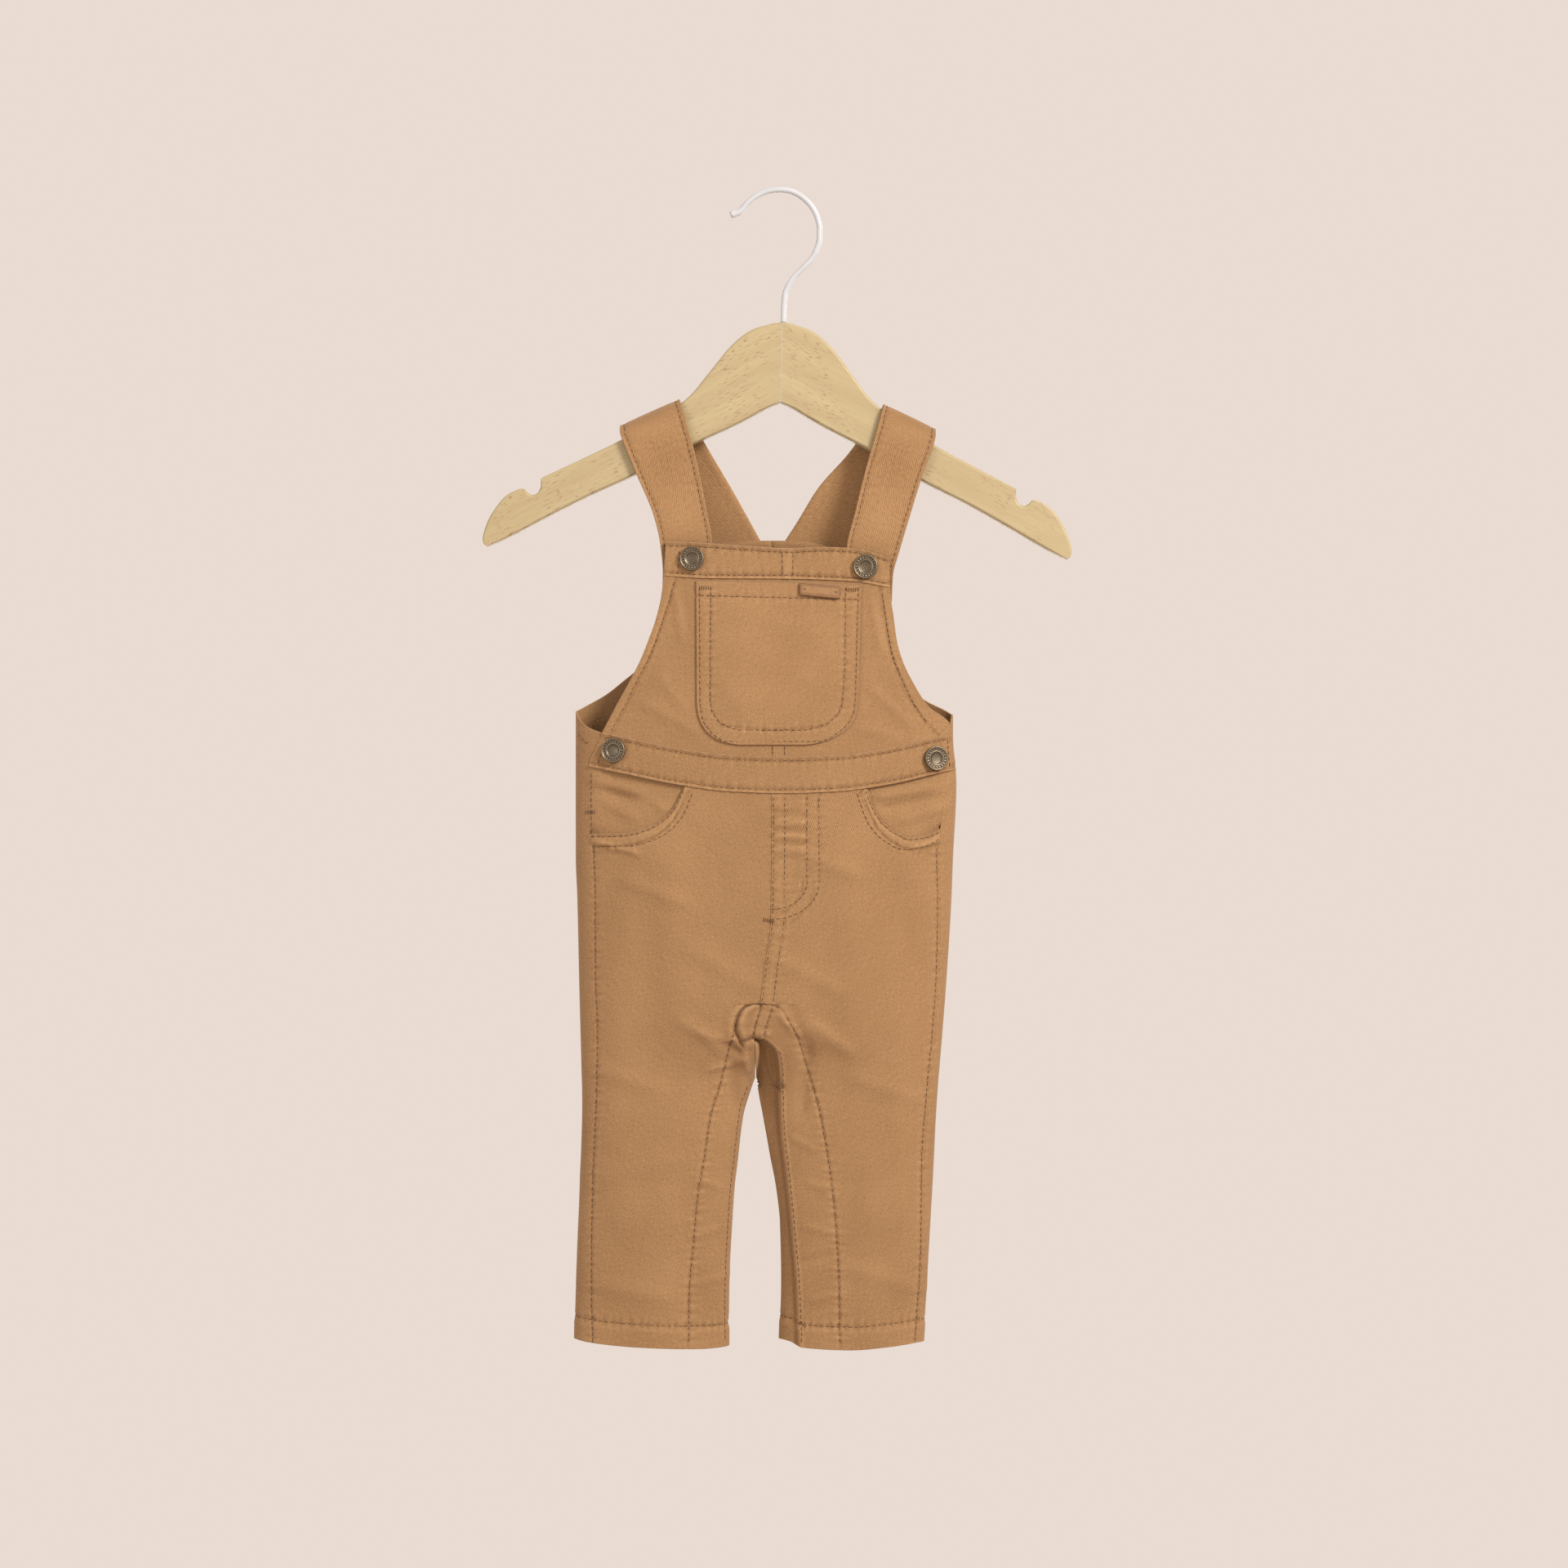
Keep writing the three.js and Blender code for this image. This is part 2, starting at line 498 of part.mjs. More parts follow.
// Straps: the outer and inner edge of each row as seen from the front, and the face's depth.
const STRAP_COLUMNS = ['outX', 'outZ', 'inX', 'inZ', 'y'];
const STRAPS = {
  left: table(STRAP_COLUMNS, [
    [-59.4, -207, -35.2, -207, -8.7], [-59.2, -194, -34.9, -193, -8.8], [-60.6, -179, -35.0, -178.7, -8.9],
    [-63.9, -165, -37.4, -164, -9.1], [-72.6, -144.2, -42.2, -140, -9.3], [-79.3, -128, -46.4, -123, -9.3],
    [-80.9, -123.4, -49.6, -111.6, -9.0], [-81.3, -120.7, -51.0, -107.4, -7.8],
    [-81.4, -119.3, -51.5, -105.9, -3.4], [-81.4, -119.3, -51.5, -105.9, 3.4],
    [-81.1, -121.0, -50.8, -107.4, 7.8], [-79.6, -125.0, -49.2, -110.8, 9.0], [-74.0, -134, -44.4, -118, 9.4],
    [-64.0, -150, -35.0, -134, 9.8], [-54.0, -166, -24.4, -152, 10.2], [-46.4, -178, -16.0, -167, 11.9],
    [-39.4, -189, -6.6, -184, 13.1],
  ]),
  right: table(STRAP_COLUMNS, [
    [56.6, -209, 33.0, -209, -8.7], [57.2, -196, 33.4, -195, -8.8], [60.8, -182.4, 34.4, -180.7, -8.9],
    [65.6, -166.2, 38.2, -165, -9.1], [72.2, -145, 44.0, -141.7, -9.3], [77.4, -131, 49.2, -123.5, -9.3],
    [78.9, -125, 51.8, -113.6, -9.0], [79.2, -122.4, 52.8, -109.9, -7.8], [79.3, -121.0, 53.1, -108.4, -3.4],
    [79.3, -121.0, 53.1, -108.4, 3.4], [78.8, -122.6, 52.4, -109.9, 7.8], [77.0, -126.8, 50.6, -113.6, 9.0],
    [70.6, -136, 45.0, -120, 9.4], [59.6, -151, 34.4, -134, 9.8], [48.0, -166, 20.2, -150, 10.2],
    [39.6, -178, 9.6, -167, 11.9], [32.0, -189, -1.4, -184, 13.1],
  ]),
};

function strap(half) {
  const columns = STRAP_COLUMNS;
  const rows = STRAPS[half];
  const curve = Object.fromEntries(columns.map(name => [name,
    track(rows.map((row, i) => ({ i, [name]: row[name] })), 'i', name)]));
  const edge = (share, t) => vec(lerp(curve.outX(t), curve.inX(t), share), curve.y(t),
    lerp(curve.outZ(t), curve.inZ(t), share));
  const grid = steps(2 * (rows.length - 1)).map(t => steps(3).map(share => {
    const at = t * (rows.length - 1);
    const along = edge(share, at + 0.04).sub(edge(share, at - 0.04));
    const across = edge(1, at).sub(edge(0, at));
    const normal = along.cross(across).normalize().multiplyScalar(HALVES[half].outward);
    return { point: edge(share, at), normal };
  }));
  return wall(`strap_${half}`, grid, 'strap', 0, BAND);
}

// The hanger: one half's outline in its own level frame, from the joint outwards.
const HANGER_UPPER = table(['out', 'up'], [
  [7.0, -1.4], [14.9, -4.1], [21.4, -8.6], [27.2, -14.4], [32.5, -21.2], [38.0, -28.4], [44.3, -36.6],
  [50.4, -42.4], [80.3, -61.6], [98.0, -70.8], [108.7, -76.2], [121.0, -82.4], [121.0, -86.4],
  [122.4, -89.6], [125.0, -90.8], [127.6, -89.6], [129.4, -87.4], [133.3, -88.6], [139.0, -92.0],
  [143.5, -97.5], [147.5, -104.5], [149.8, -112.0], [149.5, -116.4], [146.5, -117.0],
]);
const HANGER_LOWER = table(['out', 'up'], [
  [134.0, -111.0], [113.6, -99.7], [95.0, -89.9], [72.8, -79.2], [45.5, -64.1], [24.9, -54.1],
  [14.0, -48.2], [6.0, -43.6],
]);
const HANGER_JOINT = { top: -0.2, bottom: -41.2 };

function hangerHalf(half) {
  const { outward } = HALVES[half];
  const outline = [
    [SEAM_HALF, HANGER_JOINT.top], ...HANGER_UPPER.map(p => [p.out, p.up]),
    ...HANGER_LOWER.map(p => [p.out, p.up]), [SEAM_HALF, HANGER_JOINT.bottom],
  ].map(([x, z]) => new THREE.Vector2(x * outward, z));
  if (outward > 0) outline.reverse();
  const geometry = new THREE.ExtrudeGeometry(new THREE.Shape(outline), {
    depth: WOOD - 2 * WOOD_BEVEL, bevelThickness: WOOD_BEVEL, bevelSize: WOOD_BEVEL,
    bevelOffset: -WOOD_BEVEL, bevelSegments: 2, steps: 1,
  });
  geometry.translate(0, 0, -(WOOD / 2 - WOOD_BEVEL));
  geometry.rotateX(Math.PI / 2);
  geometry.rotateY(THREE.MathUtils.degToRad(HANGER_TILT));
  geometry.translate(HANGER_TOP.x, 0, HANGER_TOP.z);
  geometry.deleteAttribute('uv');
  geometry.deleteAttribute('normal');
  return paint(`hanger_${half}`, mergeVertices(geometry, 1e-3), 'wood');
}

// The hook's centre line, from the wood up and over to its free end, with the wire's radius.
const HOOK = table(['x', 'z', 'radius'], [
  [1.8, -66.2, 1], [2.1, -58.3, 1], [2.7, -51.8, 1], [6.6, -44.0, 1], [11.6, -38.8, 1], [15.6, -34.6, 1],
  [18.6, -29.6, 1], [20.2, -23.8, 1], [20.3, -18.6, 1], [19.4, -13.6, 1], [17.2, -8.6, 1], [13.6, -4.2, 1],
  [9.4, -1.0, 1], [4.7, 1.0, 1], [0.0, 1.55, 1], [-4.8, 1.1, 1], [-9.3, -0.4, 1], [-13.4, -2.7, 1],
  [-17.0, -5.8, 1], [-19.2, -8.4, 1], [-21.2, -10.1, 1.1], [-24.0, -11.1, 1.35],
]);

function hook() {
  const line = new THREE.CatmullRomCurve3(HOOK.map(p => vec(p.x, 0, p.z)), false, 'centripetal');
  const scale = track(HOOK.map((p, i) => ({ i, radius: p.radius })), 'i', 'radius');
  const around = 12, rings = 44;
  const stations = steps(rings).map(t => {
    const along = line.getTangent(t);
    return { centre: line.getPoint(t), side: vec(along.z, 0, -along.x), r: WIRE_RADIUS * scale(t * (HOOK.length - 1)) };
  });
  const points = stations.flatMap(s => steps(around).slice(0, -1).map(a => s.centre.clone()
    .addScaledVector(s.side, s.r * Math.cos(2 * Math.PI * a))
    .addScaledVector(vec(0, 1, 0), s.r * Math.sin(2 * Math.PI * a))));
  const index = [];
  for (let i = 0; i < rings; i += 1) {
    for (let j = 0; j < around; j += 1) {
      const a = i * around + j, b = i * around + (j + 1) % around;
      index.push(a, b, b + around, a, b + around, a + around);
    }
  }
  const ends = [[0, line.getTangent(0).multiplyScalar(-0.1)], [rings, line.getTangent(1).multiplyScalar(1.3)]];
  for (const [station, push] of ends) {
    const tip = points.push(stations[station].centre.clone().add(push)) - 1;
    for (let j = 0; j < around; j += 1) {
      const a = station * around + j, b = station * around + (j + 1) % around;
      index.push(...(station ? [a, b, tip] : [b, a, tip]));
    }
  }
  return solid('hook', points, index, 'wire');
}

const SNAP_PROFILE = table(['r', 'h'], [
  [0, 0], [5.4, 0], [6.2, 0.5], [6.2, 1.2], [5.6, 2.0], [4.9, 2.1], [4.2, 1.5], [2.4, 1.1], [0, 1.0],
]);
const SNAPS = table(['name', 'x', 'z'], [
  ['snap_bib_left', -44.6, -187.6], ['snap_bib_right', 43.4, -191.7],
  ['snap_waist_left', -84.1, -284.9], ['snap_waist_right', 78.8, -288.9],
]);

function snapCap({ name, x, z }) {
  const profile = SNAP_PROFILE.map(p => new THREE.Vector2(p.r * SNAP_RADIUS / 6.2, p.h));
  const geometry = new THREE.LatheGeometry(profile, 24);
  const { point, normal } = onFront(x, z);
  geometry.applyQuaternion(new THREE.Quaternion().setFromUnitVectors(vec(0, 1, 0), normal));
  const seat = point.addScaledVector(normal, BAND_PROUD + LAYER_GAP);
  geometry.translate(seat.x, seat.y, seat.z);
  geometry.deleteAttribute('uv');
  geometry.deleteAttribute('normal');
  return paint(name, mergeVertices(geometry, 1e-3), 'snap');
}

const sides = ['left', 'right'];
const overalls = new THREE.Group();
overalls.name = 'bib_overalls_on_hanger';
overalls.add(
  hook(), ...sides.map(hangerHalf), ...sides.map(strap), ...sides.map(bib), bibBand(), bibPocket(), label(),
  waistband(), ...sides.map(frontPanel), ...sides.map(hipFacing), ...sides.map(gusset), ...sides.map(backPanel),
  ...SNAPS.map(snapCap),
);

export default overalls;
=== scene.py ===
"""Baby's bib overalls on a wooden hanger: cloth, stitching, fittings, wood and studio."""

import math

import bpy
import numpy as np
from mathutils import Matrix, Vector


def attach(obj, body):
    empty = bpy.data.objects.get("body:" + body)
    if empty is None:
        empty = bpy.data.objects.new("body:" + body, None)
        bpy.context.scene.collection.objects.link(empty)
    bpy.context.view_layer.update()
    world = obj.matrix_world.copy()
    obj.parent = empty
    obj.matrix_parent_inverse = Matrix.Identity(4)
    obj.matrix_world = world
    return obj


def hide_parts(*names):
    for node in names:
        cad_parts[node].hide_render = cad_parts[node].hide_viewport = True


bl_info = {
    "name": "Bib overalls on a hanger",
    "version": (1, 0, 0),
    "blender": (4, 5, 0),
    "location": "View3D > Sidebar > Overalls",
    "description": "Builds a baby's twill overalls on a wooden hanger, with a plain studio",
    "category": "Add Mesh",
}

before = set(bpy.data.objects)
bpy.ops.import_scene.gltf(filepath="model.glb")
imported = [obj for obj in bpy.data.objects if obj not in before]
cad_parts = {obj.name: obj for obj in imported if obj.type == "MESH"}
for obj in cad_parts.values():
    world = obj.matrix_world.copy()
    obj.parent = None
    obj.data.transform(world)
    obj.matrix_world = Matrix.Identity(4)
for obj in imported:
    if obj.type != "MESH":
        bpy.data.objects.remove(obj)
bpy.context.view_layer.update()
MM = 0.001
CLOTH = 1.0          # visible thickness of one layer, in millimetres
LAYER = 1.5          # from one layer's face to the next one's
POCKET_PROUD = 1.2   # the patch pocket's face off the bib
BAND_STITCH = 1.7    # stitch rows of the bands from their edges
SQUARENESS = 2.6
WAIST_Z, WAISTBAND = -300.0, 18.0
HEM_Z, ARCH_Z, CROTCH_Z, MOUTH_BASE_Z = -587.0, -413.4, -452.0, -342.0
CREASE_SCALE = 1.35
SEAM_GAP = 0.04      # cloth left free at each side of a seam
BAND_PROUD, BAND_THICK = 0.6, 1.8
HEM_STITCH = 11.6    # the hems' stitches above the edge
POCKET_HEM = 7.4     # the patch pocket's hem stitches below its top
STRAP_WIDTH, STRAP_STITCH = 30.0, 1.9
STITCH_LENGTH, STITCH_RADIUS = 2.3, 0.21
SHADE_AND_WEAR_STEP = 1.6      # how far around a point the painted light and shade look
HALVINGS = 26
ARCH_STITCH = ([-18, -12, -4, 2], [-414.6, -413.2, -413.6, -416.5])  # x and z over the crotch
SIDES = ("left", "right")
OUTWARD = {"left": -1.0, "right": 1.0}


def table(columns, rows):
    """A table with named columns, as a dictionary of arrays."""
    data = np.array(rows, float)
    return {name: data[:, i] for i, name in enumerate(columns.split())}


def track(rows, over, column):
    """Smooth curve through one column over another: cubic pieces whose slope at a row is
    the harmonic mean of its neighbours' slopes, so no row is overshot."""
    order = np.argsort(rows[over])
    at, value = rows[over][order], rows[column][order]
    width = np.diff(at)
    slope = np.diff(value) / width
    before, after = slope[:-1], slope[1:]
    both = before * after
    total = np.where(both > 0, before + after, 1.0)
    tangent = np.concatenate([slope[:1], np.where(both > 0, 2 * both / total, 0.0), slope[-1:]])

    def curve(t):
        t = np.clip(t, at[0], at[-1])
        i = np.clip(np.searchsorted(at, t) - 1, 0, len(width) - 1)
        s = (t - at[i]) / width[i]
        a, b = 2 * s**3 - 3 * s * s + 1, s**3 - 2 * s * s + s
        return (a * value[i] + b * width[i] * tangent[i] + (1 - a) * value[i + 1]
                + (s**3 - s * s) * width[i] * tangent[i + 1])

    return curve


def ease(t):
    """0 to 1 with level ends: 3t^2 - 2t^3."""
    t = np.clip(t, 0, 1)
    return t * t * (3 - 2 * t)


def lerp(a, b, t):
    return a + (b - a) * t


BODY = table("z left right front back", [
    [-177, -104.2, 88.4, 11.6, 8.6], [-230, -104.2, 88.4, 14.4, 12.6], [-277, -104.2, 88.4, 17.0, 16.4],
    [-302, -104.2, 90.1, 17.6, 17.4], [-339, -104.2, 88.4, 18.0, 18.4], [-360, -103.4, 87.6, 18.0, 18.6],
    [-401, -102.5, 85.1, 16.6, 18.0], [-443, -101.4, 81.8, 14.6, 15.4], [-464, -100.9, 80.1, 13.4, 14.2],
    [-505, -102.1, 78.0, 12.4, 12.8], [-547, -103.8, 75.6, 11.6, 11.8], [-588, -104.9, 73.2, 11.0, 11.0]])
MIDDLE = table("z x", [
    [-177, -4.1], [-307, -4.1], [-370, -4.6], [-393, -7.5], [-413, -10.0], [-431, -12.6], [-452, -12.4]])
LEG_INNER = table("z left right", [
    [-452, -12.7, -12.1], [-460, -15.4, -10.9], [-470, -18.4, -9.0], [-480, -19.9, -7.1],
    [-493, -21.3, -4.8], [-507, -23.0, -2.1], [-526, -24.3, 0.0], [-555, -25.7, 0.6], [-588, -26.1, -0.4]])
SIDE_SEAM = table("z left right", [
    [-274, -90.2, 86.0], [-278, -91.2, 86.4], [-294, -97.1, 89.2], [-315, -97.3, 82.4], [-339, -96.0, 81.3],
    [-361, -95.4, 81.8], [-397, -95.3, 81.2], [-428, -94.3, 79.2], [-463, -95.0, 75.9], [-493, -96.3, 73.8],
    [-536, -97.4, 73.4], [-562, -97.4, 72.0], [-587, -96.6, 70.1]])
GUSSET_SEAM = table("z left right", [
    [-413.8, -17.0, -1.0], [-418, -20.8, 2.8], [-423, -22.9, 6.1], [-431, -25.0, 10.1], [-443, -28.2, 13.6],
    [-457, -31.8, 18.0], [-470, -35.9, 21.5], [-491, -39.1, 25.2], [-512, -42.7, 28.0], [-536, -44.8, 30.0],
    [-560, -46.9, 31.0], [-587, -47.3, 31.5]])
INSEAM_RIGHT = table("z x", [
    [-458, 0.4], [-477, 1.2], [-496, 3.3], [-516, 5.4], [-535, 7.1], [-554, 8.7], [-587, 10.2]])
WAIST_EDGE = table("x z", [
    [-97, -292.8], [-79, -296.5], [-52, -302.0], [-25, -305.6], [2, -306.5], [29, -305.6], [56, -301.9],
    [83, -295.7], [90, -294.4]])
HEM_EDGE = table("x z", [
    [-104, -584.5], [-97, -585.8], [-73, -587.9], [-41, -589.0], [-27, -588.2], [-10, -586.5], [0, -584.6],
    [5, -585.4], [11, -588.2], [35, -589.4], [54, -588.0], [71, -585.9]])
MOUTH = {
    "left": table("x z", [
        [-47.5, -300.0], [-49.4, -305.0], [-52.3, -311.5], [-57.7, -318.1], [-66.0, -323.5], [-79.7, -327.0],
        [-98, -327.4]]),
    "right": table("x z", [
        [42.0, -300.0], [44.0, -305.6], [46.1, -311.5], [51.0, -319.8], [58.1, -325.6], [66.0, -328.9],
        [75.9, -327.4], [83, -323.9]])}
BIB_SIDE = table("z left right", [
    [-179, -57.7, 55.0], [-187, -58.2, 55.2], [-205, -59.8, 56.0], [-218, -62.7, 57.7], [-229, -66.6, 59.2],
    [-239, -70.6, 62.0], [-251, -76.8, 67.8], [-263, -83.4, 75.8], [-271, -87.6, 86.0], [-276, -90.4, 86.4]])
BIB_TOP = table("x z", [
    [-58, -179.1], [-38, -179.9], [-17, -181.4], [5, -182.6], [22, -181.9], [34, -182.3], [44, -183.8],
    [55, -187.2]])
BAND_SEAM = table("x z", [[-59, -196.1], [-35, -197.5], [0, -197.7], [38, -199.0], [55, -201.9]])
POCKET_SIDE = table("z left right", [
    [-199.0, -42.3, 41.5], [-220, -42.1, 40.7], [-240, -42.0, 40.2], [-260, -41.9, 39.5],
    [-266, -41.2, 38.6], [-271.2, -39.6, 36.1], [-275.5, -36.6, 31.8], [-278.8, -32.4, 26.2],
    [-281.0, -27.0, 20.0], [-282.0, -20.5, 13.5]])
POCKET_STITCH = table("z left right", [
    [-199.0, -34.9, 33.4], [-240, -35.2, 32.8], [-257.9, -35.3, 31.8], [-264.6, -34.3, 30.4],
    [-269.5, -31.4, 26.4], [-272.6, -27.0, 21.0], [-274.6, -21.0, 14.0]])
BACK_EDGE = table("across left right", [
    [0.00, -177.4, -177.4], [0.09, -177.5, -177.5], [0.37, -182.0, -181.6], [0.405, -192.0, -190.0],
    [0.46, -209.0, -208.0], [0.56, -228.5, -229.0], [0.685, -243.0, -245.5], [0.76, -249.2, -252.5],
    [0.85, -256.3, -259.2], [0.965, -262.9, -264.6], [1.00, -264.8, -266.6]])
FRONT_LIP = table("across left right", [
    [0.86, -276.2, -277.4], [0.94, -272.9, -275.6], [0.983, -268.7, -271.4], [1.00, -264.8, -266.6]])

# Folds and creases: a line from 1 to 2, its half width and its height (a hollow is negative).
FOLD_COLUMNS = "x1 z1 x2 z2 width height"
FOLDS = {
    "front": table(FOLD_COLUMNS, [
        [-58, -345, -52, -420, 11, 1.6], [-84, -400, -80, -520, 12, 1.4], [-60, -470, -66, -575, 12, 1.6],
        [-36, -440, -22, -425, 6, 1.5], [34, -350, 40, -430, 12, 1.5], [62, -400, 60, -520, 12, 1.6],
        [44, -500, 46, -580, 9, 1.2], [-45, -520, -42, -580, 8, -1.2], [22, -432, 8, -424, 5, 1.3],
        [-30, -222, -20, -262, 14, 0.8], [66, -335, 72, -372, 8, 1.2], [-72, -335, -80, -372, 9, 1.3]]),
    "back": table(FOLD_COLUMNS, [
        [-62, -300, -50, -392, 14, 2.2], [48, -306, 36, -396, 13, 2.0], [-82, -395, -74, -505, 13, 1.7],
        [-44, -440, -60, -560, 12, 1.8], [60, -400, 54, -520, 13, 1.8], [30, -448, 40, -560, 11, 1.5],
        [-30, -218, -36, -262, 12, 1.5], [26, -220, 30, -268, 12, 1.6], [-22, -415, -44, -432, 8, 1.8],
        [6, -418, 28, -436, 8, 1.6]]),
}
CREASES = {
    "front": table(FOLD_COLUMNS, [
        # below the waistband and over the hip pockets
        [-92, -301, -72, -306, 2.0, 1.5], [-88, -306, -66, -313, 2.2, -1.3], [-72, -311, -60, -314, 2.4, 1.2],
        [-86, -313, -76, -318, 2.4, 1.0], [-90, -332, -74, -336, 2.2, 0.8],
        [52, -308, 76, -304, 2.2, 1.4], [56, -314, 80, -309, 2.2, -1.3], [64, -320, 80, -315, 2.2, 1.1],
        [70, -334, 79, -331, 2.2, 0.7],
        # pulled towards the crotch
        [-30, -433, -22, -437, 2.2, -0.6], [-34, -446, -20, -442, 2.4, 0.7], [-38, -428, -26, -432, 2.6, 0.6],
        [2, -421, 9, -428, 2.2, 0.6], [8, -420, 14.5, -439, 3.6, -0.8], [14.5, -440, 12.5, -466, 3.4, -0.8],
        [-25.5, -437, -21.5, -462, 4.0, -1.2], [-18, -436, -16.5, -446, 2.2, 0.7],
        [-46, -424, -28, -436, 3.5, 0.8], [20, -425, 34, -436, 3.8, 0.8],
        # across the thighs and shins
        [-74, -352, -52, -360, 4.5, 0.7], [14, -338, 36, -346, 4.2, 0.6], [-40, -388, -16, -402, 5.0, 0.6],
        [2, -392, 26, -404, 4.8, 0.6], [-88, -448, -62, -456, 4.5, 0.5], [42, -452, 66, -460, 5.0, 0.6],
        [-40, -502, -31, -506, 2.6, 0.4], [-42, -530, -34, -528, 2.4, 0.4], [-44, -556, -30, -552, 2.8, 0.4],
        [-90, -556, -60, -562, 4.8, 0.6], [26, -508, 17, -505, 2.6, 0.4], [29, -530, 16, -527, 2.6, 0.45],
        [24, -541, 12, -544, 2.4, -0.4], [30, -560, 18, -563, 2.6, 0.45], [16, -486, 8, -482, 2.2, 0.4],
        [38, -548, 66, -556, 5.0, 0.6], [-88, -500, -52, -492, 6.0, 0.5],
        # bib
        [-66, -262, -44, -274, 3.0, 0.7], [-58, -250, -48, -262, 2.8, 0.5], [50, -256, 66, -270, 3.0, 0.7],
        [44, -274, 60, -279, 2.6, 0.6], [-22, -212, 6, -222, 5.5, 0.4], [-6, -240, 22, -252, 6.0, 0.45],
        [-30, -246, -16, -268, 4.5, 0.4], [-52, -206, -49, -226, 2.6, 0.5], [48, -212, 52, -232, 2.6, 0.5]]),
    "back": table(FOLD_COLUMNS, [
        [-20, -422, -46, -440, 3.0, 1.0], [-18, -410, -40, -420, 2.6, -0.8], [8, -424, 32, -442, 3.2, 1.0],
        [6, -410, 26, -419, 2.6, -0.8], [-30, -452, -52, -462, 3.6, 0.9], [18, -456, 42, -464, 3.4, 0.9],
        [-88, -330, -60, -342, 4.6, 0.8], [40, -336, 70, -330, 4.4, 0.8], [-78, -372, -52, -384, 5.0, 0.8],
        [30, -372, 60, -382, 5.2, 0.8], [-92, -286, -70, -296, 3.2, 0.8], [62, -290, 80, -284, 3.0, 0.7],
        [-60, -262, -30, -276, 5.0, 0.7], [20, -272, 52, -262, 5.0, 0.8], [-38, -520, -66, -512, 4.2, 0.8],
        [24, -524, 52, -516, 4.2, 0.8], [-46, -556, -80, -550, 4.8, 0.7], [20, -552, 50, -558, 4.4, 0.7],
        [-84, -470, -60, -480, 4.6, 0.7], [44, -478, 66, -470, 4.6, 0.7]]),
}


def ridges(rows, x, z, stretch=1.6):
    """Sum of height * exp(-(distance across / width)^2 - (distance past the ends / 1.6 width)^2)."""
    total = np.zeros(np.broadcast(x, z).shape)
    for x1, z1, x2, z2, width, height in zip(*(rows[c] for c in FOLD_COLUMNS.split())):
        dx, dz = x2 - x1, z2 - z1
        length = math.hypot(dx, dz)
        along = ((x - x1) * dx + (z - z1) * dz) / length
        off = ((x - x1) * dz - (z - z1) * dx) / length
        past = np.maximum(0, np.maximum(-along, along - length))
        total += height * np.exp(-((off / width) ** 2) - (past / (stretch * width)) ** 2)
    return total


middle, inseam_right = track(MIDDLE, "z", "x"), track(INSEAM_RIGHT, "z", "x")
waist_edge, hem_edge = track(WAIST_EDGE, "x", "z"), track(HEM_EDGE, "x", "z")
bib_top, band_seam = track(BIB_TOP, "x", "z"), track(BAND_SEAM, "x", "z")
front_depth, back_depth = track(BODY, "z", "front"), track(BODY, "z", "back")
outline = {s: track(BODY, "z", s) for s in SIDES}
leg_inner = {s: track(LEG_INNER, "z", s) for s in SIDES}
side_seam = {s: track(SIDE_SEAM, "z", s) for s in SIDES}
gusset_seam = {s: track(GUSSET_SEAM, "z", s) for s in SIDES}
bib_side = {s: track(BIB_SIDE, "z", s) for s in SIDES}
pocket_side = {s: track(POCKET_SIDE, "z", s) for s in SIDES}
pocket_stitch = {s: track(POCKET_STITCH, "z", s) for s in SIDES}
mouth = {s: track(MOUTH[s], "x", "z") for s in SIDES}
back_edge = {s: track(BACK_EDGE, "across", s) for s in SIDES}
front_lip = {s: track(FRONT_LIP, "across", s) for s in SIDES}


def joined(z):
    """How much of the body's one section is left: a quarter circle from 0 where the legs
    part to 1 at the top of the gussets."""
    t = np.clip((z - CROTCH_Z) / (ARCH_Z - CROTCH_Z), 0, 1)
    return np.sqrt(1 - (1 - t) ** 2)


def bulge(v):
    """sign(v) |v|^(2/n), which squares a circle off."""
    return np.sign(v) * np.abs(v) ** (2 / SQUARENESS)


def skin(half, turn, z):
    """A point of one half of the hung body. turn runs 0 at the inner edge on the front, 1 at
    the outline, 2 at the inner edge on the back; above 2 it starts round the leg again. The
    section blends a half of one squared oval (body) into a whole one (leg)."""
    turn = np.where(turn > 2, turn - 2, turn)
    turn, z = np.broadcast_arrays(turn, z)
    near = np.abs(1 - turn) ** 5
    w = lerp(ease((z + 520) / 120), joined(z), near)
    body, leg = np.pi * turn / 2, np.pi * (turn - 0.5)
    across = lerp((1 + bulge(np.sin(leg))) / 2, bulge(np.sin(body)), w)
    out = lerp(bulge(np.cos(leg)), bulge(np.cos(body)), w)
    inner = np.where(z <= CROTCH_Z, leg_inner[half](z), middle(z) + OUTWARD[half] * 0.3 * (1 - joined(z)))
    x = inner + (outline[half](z) - inner) * across
    front = turn < 1
    standing = np.where(front, front_depth(z) + ridges(FOLDS["front"], x, z),
                        back_depth(z) + ridges(FOLDS["back"], x, z))
    set_back = 5.5 * np.exp(-(((z - CROTCH_Z + 4) / 20) ** 2))
    return np.stack([x, set_back * (1 - across) ** 2 - standing * out, z], -1)


def unit(v):
    return v / np.maximum(np.linalg.norm(v, axis=-1, keepdims=True), 1e-9)


